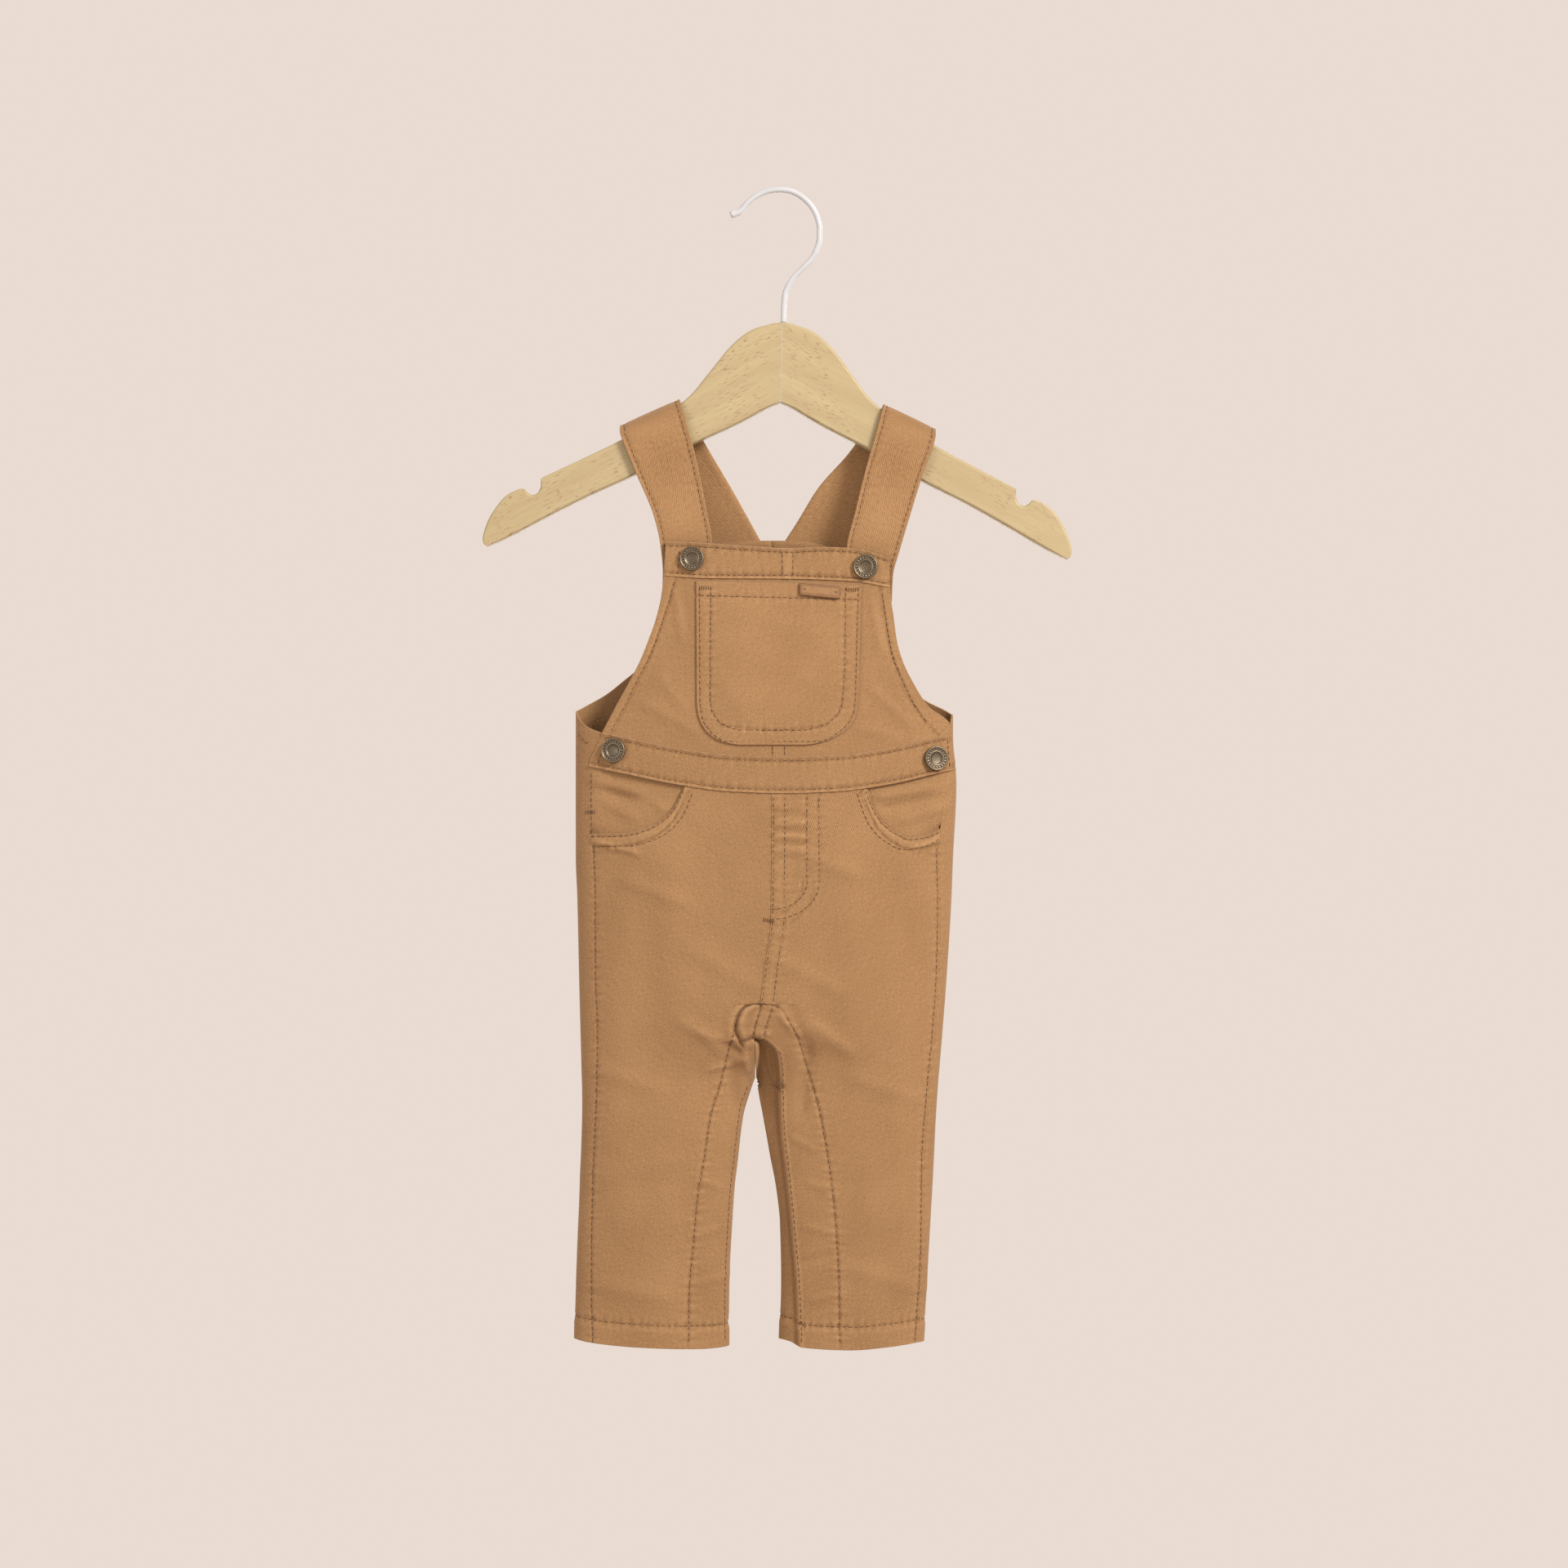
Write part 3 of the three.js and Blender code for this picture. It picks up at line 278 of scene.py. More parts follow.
def place(half, turn, z):
    """The skin's points and the directions that face out of the cloth, by differences."""
    closed = z <= CROTCH_Z
    turn = np.where(closed, turn, np.minimum(turn, 2))
    lo = np.where(closed, np.where(turn < 0.006, turn + 1.994, turn - 0.006), np.maximum(turn - 0.006, 0))
    hi = np.where(closed, turn + 0.006, np.minimum(turn + 0.006, 2))
    side = skin(half, hi, z) - skin(half, lo, z)
    up = skin(half, turn, z + 0.6) - skin(half, turn, z - 0.6)
    return skin(half, turn, z), unit(np.cross(side, up)) * OUTWARD[half]


# Running lengths round each half, on one millimetre levels, so that pieces are cut evenly.
LEVELS = np.linspace(-606, -166, 441)
TURNS = np.linspace(0, 2, 321)
ROUND = {}
for _half in SIDES:
    _points = skin(_half, TURNS[None, :], LEVELS[:, None])
    _steps = np.linalg.norm(np.diff(_points, axis=1), axis=2)
    ROUND[_half] = (_points[..., 0], np.concatenate([np.zeros((len(LEVELS), 1)), _steps.cumsum(1)], 1))


def length_at(half, x):
    """Running length from the inner edge to x on the front, for each level."""
    xs, lengths = ROUND[half]
    stop = len(TURNS) // 2 + 1
    sign = OUTWARD[half]
    return np.array([np.interp(sign * x[k], sign * xs[k, :stop], lengths[k, :stop])
                     for k in range(len(LEVELS))])


side_length = {s: length_at(s, side_seam[s](LEVELS)) for s in SIDES}
gusset_length = {s: length_at(s, gusset_seam[s](LEVELS)) for s in SIDES}
total_length = {s: ROUND[s][1][:, -1] for s in SIDES}
inseam_length = {
    "left": np.zeros(len(LEVELS)),
    "right": length_at("right", inseam_right(LEVELS)) * ease((CROTCH_Z - LEVELS) / 6)}


def between(values, z):
    """Rows of a per-level array or table, interpolated at heights z (columns kept)."""
    f = np.clip((z - LEVELS[0]) / (LEVELS[1] - LEVELS[0]), 0, len(LEVELS) - 1.001)
    i = f.astype(int)
    if values.ndim == 1:
        return lerp(values[i], values[i + 1], f - i)
    j = np.arange(values.shape[1])[None, :]
    return lerp(values[i, j], values[i + 1, j], f - i)


def height(x, level):
    """Level rows in the legs that follow the waistband's sag and the hem's curve."""
    sag = ease((level + 400) / (WAIST_Z + 400)) * ease((-200 - level) / (-200 - WAIST_Z - WAISTBAND))
    hem = ease((-500 - level) / (-500 - HEM_Z))
    return level + (waist_edge(x) - WAIST_Z) * sag + (hem_edge(x) - HEM_Z) * hem


def cut(half, levels, shares, start, stop, rise=height):
    """turn and z on a grid: shares of the way from start to stop round the section at each
    level; z follows rise(x, level), found in a few passes."""
    lengths = ROUND[half][1]
    turns = np.empty((len(LEVELS), len(shares)))
    for k, (a, b, row, end) in enumerate(zip(start, stop, lengths, total_length[half])):
        run = lerp(a, b, shares)
        turns[k] = np.where(run > end, 2 + np.interp(run - end, row, TURNS), np.interp(run, row, TURNS))
    xs = skin(half, turns, LEVELS[:, None])[..., 0]
    z = np.repeat(np.asarray(levels, float)[:, None], len(shares), 1)
    level = z.copy()
    for _ in range(4):
        z = rise(between(xs, z), level)
    return between(turns, z), z


# Stitched seams pucker the cloth.
def wobble(t, seed=0.0):
    """An uneven wave: three sines of unlike lengths, about 1 high."""
    return (np.sin(t * 1.31 + 2.1 * seed + 0.8 * np.sin(t * 0.37 + seed)) * 0.55
            + np.sin(t * 0.83 + 1.7 * seed) * 0.3 + np.sin(t * 2.17 + seed) * 0.25)


def window(t, low, high, soft=2.0):
    """1 between low and high, easing to 0 over soft beyond them."""
    return ease((t - low) / soft + 1) * ease((high - t) / soft + 1)


def pucker(off, run, inside, seed, depth=0.35, pull=0.28, reach=3.2):
    """A seam's relief: a narrow valley on the stitch line, and short ripples across it that
    fade within reach. off is the distance across it, run the distance along it."""
    valley = -depth * np.exp(-((off / 0.9) ** 2))
    ripple = pull * wobble(run * 1.05, seed) * np.exp(-((off / reach) ** 2))
    return inside * (valley + ripple)


FLY_END = -371.0     # lower end of the mock fly's stitches
CROTCH_FOLD = table("z left right", [
    [-430.1, -15.5, -13.7], [-431.4, -14.2, -8.3], [-434.1, -11.4, -4.4], [-437.6, -11.2, -1.4],
    [-442.2, -11.5, -0.2], [-448.0, -12.3, 0.4], [-459.6, -16.0, 0.6], [-477, -21, 1.2], [-496, -23.5, 3.3],
    [-516, -26, 5.4], [-535, -27, 7.1], [-554, -28, 8.7], [-588, -29, 10.2]])
CROTCH_SEAM = table("z x", [
    [-435.0, -6.6], [-439.3, -7.9], [-444.7, -7.3], [-450.9, -5.0], [-457.5, -2.5], [-462.0, -1.6]])
TUCK = table("z x", [
    [-413.6, -15.0], [-415.6, -18.6], [-418.6, -21.0], [-422.0, -22.2], [-425.5, -22.5], [-429.0, -21.8],
    [-432.0, -20.3], [-435.0, -19.0], [-441, -17.8]])
fold_left, fold_right = track(CROTCH_FOLD, "z", "left"), track(CROTCH_FOLD, "z", "right")
crotch_seam, tuck = track(CROTCH_SEAM, "z", "x"), track(TUCK, "z", "x")


def crotch_shade(x, z):
    """1 on the cloth that lies back under the crotch fold and behind the right leg's inner
    edge, 0 elsewhere. Below the crotch only the right half has such cloth."""
    right_half = (z > CROTCH_Z) | (x > (leg_inner["left"](z) + leg_inner["right"](z)) / 2)
    return (right_half * ease((x - fold_left(z)) / 1.2) * ease((fold_right(z) - x) / 0.9)
            * ease((-430.4 - z) / 1.6))


def crotch_relief(x, z):
    """The front hangs over at the crotch and along the right leg's inner edge, and the cloth
    behind that edge lies deeper: a step of 4 mm at the top that shrinks to 1.4 mm."""
    d = -lerp(1.4, 4.2, ease((z + 500) / 50)) * crotch_shade(x, z)
    lip = np.exp(-(((x - fold_right(z) - 1.2) / 1.3) ** 2)) * window(z, -590, -436, 3)
    d = d + 0.45 * lip + 0.5 * np.exp(-(((z + 428.6) / 1.4) ** 2)) * window(x, -18, -6, 3)
    d = d - 0.5 * np.exp(-(((x - crotch_seam(z)) / 0.7) ** 2)) * window(z, -461, -436, 2)
    off = x - tuck(z)
    near = window(z, -433, -416, 4)
    return d + near * (-1.3 * np.exp(-((off / 1.0) ** 2)) + 1.2 * np.exp(-(((off - 3.2) / 2.3) ** 2))
                       + 0.5 * np.exp(-(((off + 3.0) / 2.4) ** 2)))


def relief(side, x, z):
    """Small relief of the body's cloth in millimetres: creases, then every stitched seam."""
    d = ridges(CREASES[side], x, z) * CREASE_SCALE
    if side == "front":
        d = d + crotch_relief(x, z)
    m = middle(z)
    hem_off = z - hem_edge(x) - HEM_STITCH
    d = d + pucker(hem_off, x, 1.0 * (z < -560), 1.0, 0.4, 0.3)
    d = d + 0.35 * ease((hem_off + 1.0) / -1.2) * (z < -560)
    if side == "back":
        seam = window(z, ARCH_Z - 30, -179)
        for off, seed in ((-3.0, 3.0), (3.0, 4.0)):
            d = d + pucker(x - m - off, z, seam, seed, 0.3, 0.2)
        return d + 0.3 * seam * np.exp(-(((x - m) / 2.6) ** 4))
    below = window(z, ARCH_Z, -371)
    fly = window(z, FLY_END, -308)
    lap = 0.55 * ease((x - m) / 0.5 + 0.5) * np.exp(-(((x - m) / 9.0) ** 4))
    crotch = window(z, -430, ARCH_Z, 1)
    d = d + lap * np.maximum(below, fly)
    for off, seed in ((0.9, 5.0), (6.6, 6.0)):
        drift = -1.8 * ease((ARCH_Z - z) / 17)
        d = d + pucker(x - m - off - drift, z, np.maximum(np.maximum(below, fly), crotch), seed)
    d = d + pucker(x - 13.7, z, window(z, -350, -308), 7.0) + pucker(x - 19.8, z, window(z, -352, -308), 8.0)
    bend = np.hypot(x + 4.0, (z + 352) * 0.98)
    corner = (z < -351) * window(x, -5, 18, 3)
    d = d + pucker(bend - 15.6, x, corner, 9.0, 0.3, 0.2) + pucker(bend - 21.6, x, corner, 10.0, 0.3, 0.2)
    inside_fly = window(x, m + 2, 12, 2) * window(z, -356, -310)
    d = d + 0.55 * inside_fly * np.sin(z * 0.78 + 0.9 * np.sin(z * 0.21)) * (0.6 + 0.4 * np.sin(z * 0.13))
    for half, seed in (("left", 11.0), ("right", 12.0)):
        sign = OUTWARD[half]
        g = (gusset_seam[half](z) - x) * sign
        seam = window(z, HEM_Z, -420, 4)
        d = d + pucker(g - 0.9, z, seam, seed, 0.4, 0.35, 4.0)
        s = (side_seam[half](z) - x) * sign
        d = d + pucker(s - 1.6, z, window(z, HEM_Z, -334, 3), seed + 2, 0.35, 0.3)
        m_off = mouth[half](x) - z
        across = window(sign * x, sign * MOUTH[half]["x"][0] - 1.0, 120, 2)
        near = across * (z < waist_edge(x) - 1) * ease((s - 0.2) / 0.6)
        d = d + pucker(m_off - 1.3, x * 1.2, near, seed + 4, 0.3, 0.2, 2.2)
        d = d + pucker(m_off - 6.3, x * 1.2, near, seed + 6, 0.4, 0.3)
        d = d + 0.35 * near * np.exp(-(((m_off - 3.6) / 2.6) ** 4))
    arch = z - np.interp(x, *ARCH_STITCH)
    d = d + pucker(arch, x, window(x, -18, 2, 1.5), 15.0, 0.4, 0.25, 2.2)
    return d


def surface(half, turn, z, small=None):
    """Points and outward directions of the body's cloth with its small relief. The crotch's
    step goes straight back, and fades where the cloth turns away round the inner leg."""
    p, n = place(half, turn, z)
    front = np.where(turn > 2, turn - 2, turn) < 1
    if small is None:
        x = p[..., 0]
        deep = np.where(front, crotch_relief(x, z), 0.0)
        small = np.where(front, relief("front", x, z), relief("back", x, z)) - deep
        p = p - np.array([0.0, 1.0, 0.0]) * (deep * np.clip(-1.6 * n[..., 1], 0, 1))[..., None]
    return p + n * small[..., None], n


def from_halves(x, z, inner_turn, outer_turn, point):
    """Points for given x and z: the turn whose skin has that x, by halving the way between
    the inner edge's turn and the outline's."""
    out_p, out_n = np.empty(x.shape + (3,)), np.empty(x.shape + (3,))
    left = x < middle(z)
    for half, mask in (("left", left), ("right", ~left)):
        if not mask.any():
            continue
        xm, zm = x[mask], z[mask]
        inner, outer = np.full_like(xm, inner_turn), np.full_like(xm, outer_turn)
        for _ in range(HALVINGS):
            mid = (inner + outer) / 2
            beyond = (skin(half, mid, zm)[..., 0] - xm) * OUTWARD[half] > 0
            inner, outer = np.where(beyond, inner, mid), np.where(beyond, mid, outer)
        out_p[mask], out_n[mask] = point(half, (inner + outer) / 2, zm)
    return out_p, out_n


def on_front(x, z, relief_of=None):
    """Points of the front for given x and z, with a relief where one is given."""
    x, z = np.broadcast_arrays(np.asarray(x, float), np.asarray(z, float))
    p, n = from_halves(x, z, 0.0, 1.0, place)
    if relief_of is not None:
        p = p + n * relief_of(x, z)[..., None]
    return p, n


def on_back(x, z):
    """Points of the back for given x and z, with its relief."""
    x, z = np.broadcast_arrays(np.asarray(x, float), np.asarray(z, float))
    return from_halves(x, z, 2.0, 1.0, surface)


# Meshes

def new_object(name, vertices, faces, material, uv=None, shade=None, sharp=None):
    """A mesh object from arrays in millimetres, riding on the one body."""
    mesh = bpy.data.meshes.new(name)
    mesh.from_pydata((vertices * MM).tolist(), [], faces if isinstance(faces, list) else faces.tolist())
    mesh.polygons.foreach_set("use_smooth", [True] * len(mesh.polygons))
    if uv is not None:
        layer = mesh.uv_layers.new(name="cloth")
        index = np.empty(len(mesh.loops), np.int32)
        mesh.loops.foreach_get("vertex_index", index)
        layer.data.foreach_set("uv", (uv * MM)[index].ravel())
    # colour attribute: painted light and shade from the relief on the cloth and the tab, partly rubbed seam
    # edges; real worn spots and patina on the snap caps
    if shade is not None:
        mesh.attributes.new("wear", "FLOAT", "POINT").data.foreach_set("value", shade)
    if sharp is not None:
        ends = np.empty(2 * len(mesh.edges), np.int32)
        mesh.edges.foreach_get("vertices", ends)
        flag = np.isin(ends.reshape(-1, 2), sharp).all(1)
        mesh.attributes.new("sharp_edge", "BOOLEAN", "EDGE").data.foreach_set("value", flag)
    mesh.materials.append(material)
    obj = bpy.data.objects.new(name, mesh)
    bpy.context.scene.collection.objects.link(obj)
    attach(obj, "root")
    return obj


def wall(points, normals, thick):
    """A closed wall on a grid: the outer layer, the inner one set in by thick, with rounded
    rims: the rim's middle row stands out by a quarter of the thickness."""
    rows, columns = points.shape[:2]
    count = rows * columns
    flat, away = points.reshape(-1, 3), normals.reshape(-1, 3)
    at = np.arange(count).reshape(rows, columns)
    a, b, c, d = at[:-1, :-1], at[:-1, 1:], at[1:, 1:], at[1:, :-1]
    outer = np.stack([a, b, c, d], -1).reshape(-1, 4)
    inner = outer[:, ::-1] + count
    ring = np.concatenate([at[0, :-1], at[:-1, -1], at[-1, :0:-1], at[:0:-1, 0]])
    grid = flat[ring]
    left, right = np.roll(grid, 1, 0), np.roll(grid, -1, 0)
    beside = unit(np.cross(away[ring], right - left))
    inward_row = np.concatenate([at[1, :-1], at[:-1, -2], at[-2, :0:-1], at[:0:-1, 1]])
    flip = np.sign(((grid - flat[inward_row]) * beside).sum(1, keepdims=True))
    rim_points = grid - away[ring] * thick / 2 + beside * flip * thick * 0.22
    rim = np.arange(len(ring)) + 2 * count
    follow = np.roll(np.arange(len(ring)), -1)
    outer_rim = np.stack([ring, rim, rim[follow], ring[follow]], -1)
    inner_rim = np.stack([rim, ring + count, ring[follow] + count, rim[follow]], -1)
    vertices = np.concatenate([flat, flat - away * thick, rim_points])
    faces = np.concatenate([outer, inner, outer_rim, inner_rim])
    tri = vertices[faces]
    volume = sum((tri[:, 0] * np.cross(tri[:, k], tri[:, k + 1])).sum() for k in (1, 2))
    return vertices, (faces[:, ::-1] if volume < 0 else faces), ring


def lay_out(points, anchor=None):
    """Cloth coordinates in millimetres: running length across each row from the anchor
    column, which is the middle one unless another is given, and height."""
    across = np.linalg.norm(np.diff(points, axis=1), axis=2)
    across = np.concatenate([np.zeros((len(points), 1)), across.cumsum(1)], 1)
    across -= across[:, [points.shape[1] // 2 if anchor is None else anchor]]
    return np.stack([across, points[..., 2]], -1)


def cloth_piece(name, points, normals, material, thick=CLOTH, outer=0.0, nodes=None,
                uv=None, declare=True, shade=None, folded=False):
    """One cut piece of cloth as a thin closed wall, standing for its CAD solid. It works out its cut's
    width (its longest row), length (its height or its longest column, whichever is less; its mean column
    for a piece folded over the hanger) and area, and keeps none of them."""
    points = points + normals * outer
    uv = lay_out(points) if uv is None else uv
    vertices, faces, ring = wall(points, normals, thick)
    flat_uv = uv.reshape(-1, 2)
    # colour attribute: painted light and shade from the relief, partly rubbed seam edges; none on the inner face
    wear = np.zeros(points.shape[:2]) if shade is None else shade
    wear = wear.ravel()
    obj = new_object(f"{name}_cloth", vertices, faces, material,
                     uv=np.concatenate([flat_uv, flat_uv, flat_uv[ring]]),
                     shade=np.concatenate([wear, wear * 0, wear[ring]]), sharp=ring)
    if nodes:
        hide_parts(*nodes)
    if declare:
        across = np.linalg.norm(np.diff(points, axis=1), axis=2).sum(1)
        along = np.linalg.norm(np.diff(points, axis=0), axis=2).sum(0)
        a, b, c = points[:-1, :-1], points[:-1, 1:], points[1:, 1:]
        area = np.linalg.norm(np.cross(b - a, c - a), axis=2).sum()
        longest = along.mean() if folded else min(along.max(), np.ptp(points[..., 2]))
        width, length = round(float(across.max()), 1), round(float(longest), 1)
        area = min(float(area), 0.995 * width * length)
    return obj


def relief_shade_and_wear(side, x, z, step=SHADE_AND_WEAR_STEP):
    """Painted light and shade from the relief, partly rubbed seam edges: paler on what stands proud of its
    surroundings, darker in valleys: the relief less the mean of four points around it, in millimetres."""
    here = relief(side, x, z)
    around = (relief(side, x + step, z) + relief(side, x - step, z)
              + relief(side, x, z + step) + relief(side, x, z - step)) / 4
    # painted shade in the crotch recess, darkest towards its top
    recess_shade = crotch_shade(x, z) * lerp(0.5, 1.3, ease((z + 480) / 40)) if side == "front" else 0.0
    return np.clip((here - around) * 2.2 - recess_shade, -1.4, 1)


def body_piece(name, half, grids, materials):
    """A panel of the body from one or more stacked grids of turn and z."""
    turn = np.concatenate([g[0] for g in grids])
    z = np.concatenate([g[1] for g in grids])
    points, normals = surface(half, turn, z)
    front = np.where(turn > 2, turn - 2, turn) < 1
    x = points[..., 0]
    # painted light and shade from the relief, partly rubbed seam edges, with painted shade in the crotch recess
    shade = np.where(front, relief_shade_and_wear("front", x, z), relief_shade_and_wear("back", x, z))
    anchor = 0 if name.startswith("back") else -1
    return cloth_piece(name, points, normals, materials["twill"], nodes=[name], shade=shade,
                       uv=lay_out(points, anchor))


# Stitching

def stitch_template():
    """One stitch of unit length along x: a spindle of three rings of five points."""
    a = np.arange(5) * 2 * np.pi / 5
    rings = [np.stack([np.full(5, x), r * np.cos(a), r * np.sin(a)], -1)
             for x, r in ((-0.36, 0.7), (0.0, 1.0), (0.36, 0.7))]
    points = np.concatenate([[[-0.5, 0, 0]], *rings, [[0.5, 0, 0]]])
    faces = []
    for j in range(5):
        k = (j + 1) % 5
        faces.append([0, 1 + k, 1 + j, 1 + j])
        for ring in (1, 6):
            faces.append([ring + j, ring + k, ring + 5 + k, ring + 5 + j])
        faces.append([11 + j, 11 + k, 16, 16])
    return points, np.array(faces)


STITCH_POINTS, STITCH_FACES = stitch_template()
STITCH_LINES = []


def stitch(points, normals, pitch=3.0, lift=0.12):
    """Collects a row of stitches along a line of surface points, evenly by length."""
    seg = np.linalg.norm(np.diff(points, axis=0), axis=1)
    run = np.concatenate([[0], seg.cumsum()])
    if run[-1] < pitch:
        return
    count = max(2, int(round(run[-1] / pitch)))
    at = (np.arange(count) + 0.5) * run[-1] / count

    def sample(values, where):
        return np.stack([np.interp(where, run, values[:, i]) for i in range(3)], -1)

    centre = sample(points, at)
    along = unit(sample(points, at + 0.5) - sample(points, at - 0.5))
    normal = unit(sample(normals, at))
    side = unit(np.cross(normal, along))
    jitter = 0.12 * wobble(np.arange(count) * 2.3, run[-1])[:, None]
    STITCH_LINES.append((centre + normal * lift + side * jitter, along, normal, side))


def tack(start, end, shape, base=0.0, spacing=0.95):
    """A bar tack from start to end: stitches close together, each across the bar."""
    count = int(math.hypot(end[0] - start[0], end[1] - start[1]) / spacing) + 1
    t = np.linspace(0, 1, count)
    p, n = on_front(lerp(start[0], end[0], t), lerp(start[1], end[1], t), shape)
    n = unit(n)
    bar = unit(np.repeat((p[-1] - p[0])[None], count, 0))
    STITCH_LINES.append((p + n * (base + 0.15), unit(np.cross(n, bar)), n, bar))


def front_relief(x, z):
    return relief("front", x, z)


def front_stitch(x, z):
    stitch(*on_front(x, z, front_relief))


def sew(name, material):
    """All collected stitches as one mesh: the template turned to each place."""
    centre, along, normal, side = (np.concatenate(c) for c in zip(*STITCH_LINES))
    STITCH_LINES.clear()
    t = STITCH_POINTS
    points = (centre[:, None] + along[:, None] * (t[None, :, :1] * STITCH_LENGTH)
              + side[:, None] * (t[None, :, 1:2] * STITCH_RADIUS)
              + normal[:, None] * (t[None, :, 2:] * STITCH_RADIUS))
    faces = STITCH_FACES[None] + (np.arange(len(centre)) * len(t))[:, None, None]
    faces = [f[:3] if f[2] == f[3] else f for f in faces.reshape(-1, 4).tolist()]
    return new_object(name, points.reshape(-1, 3), faces, material)


# Materials

class Socket:
    """A shader value with arithmetic: an expression on it adds its Math nodes."""

    def __init__(self, tree, link):
        self.tree, self.link = tree, link

    def _math(self, operation, *values):
        node = self.tree.nodes.new("ShaderNodeMath")
        node.operation = operation
        for slot, value in zip(node.inputs, values):
            if isinstance(value, Socket):
                self.tree.links.new(value.link, slot)
            else:
                slot.default_value = value
        return Socket(self.tree, node.outputs[0])

    def __add__(self, other):
        return self._math("ADD", self, other)

    __radd__ = __add__

    def __sub__(self, other):
        return self._math("SUBTRACT", self, other)

    def __rsub__(self, other):
        return self._math("SUBTRACT", other, self)

    def __mul__(self, other):
        return self._math("MULTIPLY", self, other)

    __rmul__ = __mul__

    def sin(self):
        return self._math("SINE", self)

    def clamp(self):
        node = self._math("ADD", self, 0.0)
        node.link.node.use_clamp = True
        return node


class Finish:
    """A material and one method that adds any node to it."""

    def __init__(self, name, **constants):
        self.material = bpy.data.materials.new(name)
        self.material.use_nodes = True
        self.tree = self.material.node_tree
        self.shader = next(n for n in self.tree.nodes if n.type == "BSDF_PRINCIPLED")
        for socket, value in constants.items():
            self.shader.inputs[socket.replace("_", " ")].default_value = value

    def node(self, kind, settings=None, output=0, **inputs):
        node = self.tree.nodes.new("ShaderNode" + kind)
        for key, value in (settings or {}).items():
            if key == "stops":
                ramp = node.color_ramp
                while len(ramp.elements) < len(value):
                    ramp.elements.new(0.5)
                for element, (position, colour) in zip(ramp.elements, value):
                    element.position, element.color = position, (*colour, 1.0)
            else:
                setattr(node, key, value)
        for key, value in inputs.items():
            self.feed(node.inputs[int(key[1:]) if key[0] == "i" and key[1:].isdigit() else key], value)
        return Socket(self.tree, node.outputs[output])

    def feed(self, slot, value):
        if isinstance(value, Socket):
            self.tree.links.new(value.link, slot)
        else:
            slot.default_value = value

    def parts(self, vector):
        split = self.node("SeparateXYZ", Vector=vector).link.node
        return [Socket(self.tree, split.outputs[i]) for i in range(3)]

    def mix(self, factor, a, b, blend="MIX"):
        node = self.tree.nodes.new("ShaderNodeMix")
        node.data_type, node.blend_type = "RGBA", blend
        colours = [s for s in node.inputs if s.type == "RGBA"]
        self.feed(node.inputs[0], factor)
        for slot, value in zip(colours, (a, b)):
            self.feed(slot, (*value, 1.0) if isinstance(value, tuple) and len(value) == 3 else value)
        return Socket(self.tree, next(o for o in node.outputs if o.type == "RGBA"))

    def finish(self, colour=None, roughness=None, bump=None, strength=0.3, distance=0.0004):
        if colour is not None:
            self.feed(self.shader.inputs["Base Color"], colour)
        if roughness is not None:
            self.feed(self.shader.inputs["Roughness"], roughness)
        if bump is not None:
            node = self.node("Bump", Height=bump, Strength=strength, Distance=distance)
            self.feed(self.shader.inputs["Normal"], node)
        return self.material


def linear(r, g, b):
    """sRGB 0 to 255 as linear light."""
    return tuple(float(((c / 255 + 0.055) / 1.055) ** 2.4 if c > 10 else c / 3294) for c in (r, g, b))


def twill(name, light, dark, turn=1.0):
    """Cotton twill: fine diagonal ribs broken up by yarn slubs and cloudy fading; its colour also follows the
    relief, paler on what stands proud (rubbed seam edges, painted highlight on creases) and darker in valleys
    (painted shade)."""
    f = Finish(name, Roughness=0.88, Specular_IOR_Level=0.25, Sheen_Weight=0.12, Sheen_Roughness=0.5)
    uv = f.node("UVMap", {"uv_map": "cloth"})
    u, v, _ = f.parts(uv)
    slub_at = f.node("CombineXYZ", X=(u + v * turn) * 1500.0, Y=(u * turn - v) * 380.0, Z=0.0)
    slub = f.node("TexNoise", Vector=slub_at, Scale=1.0, Detail=2.0, Roughness=0.6)
    yarn_at = f.node("CombineXYZ", X=u * 2600.0, Y=v * 900.0, Z=3.0)
    yarn = f.node("TexNoise", Vector=yarn_at, Scale=1.0, Detail=1.0)
    cloud = f.node("TexNoise", Vector=uv, Scale=26.0, Detail=4.0, Roughness=0.6)
    rib = ((u + v * turn * 0.9) * (2 * math.pi / 0.00115) + slub * 2.5).sin()
    # painted light and shade from the relief, partly the paler rubbed seam edges
    wear = f.node("Attribute", {"attribute_name": "wear"}, output=2)
    tone = 0.5 + (slub - 0.5) * 1.4 + (yarn - 0.5) * 0.45 + (cloud - 0.5) * 0.5 + rib * 0.13 + wear * 0.42
    colour = f.mix(tone.clamp(), dark, light)
    weave = rib * 0.5 + slub * 1.2 + yarn * 0.6
    rough = 0.84 + (slub - 0.5) * 0.2
    return f.finish(colour, rough, weave, 0.55, 0.00022)


def thread(name, colour):
    """Sewing thread: dark brown, slightly shiny, its tone uneven along the seams."""
    f = Finish(name, Roughness=0.6)
    where = f.node("TexCoord", output=3)
    tone = f.node("TexNoise", Vector=where, Scale=900.0, Detail=1.0)
    dark = tuple(c * 0.62 for c in colour)
    return f.finish(f.mix(tone, dark, colour), 0.62, tone, 0.2, 0.0001)


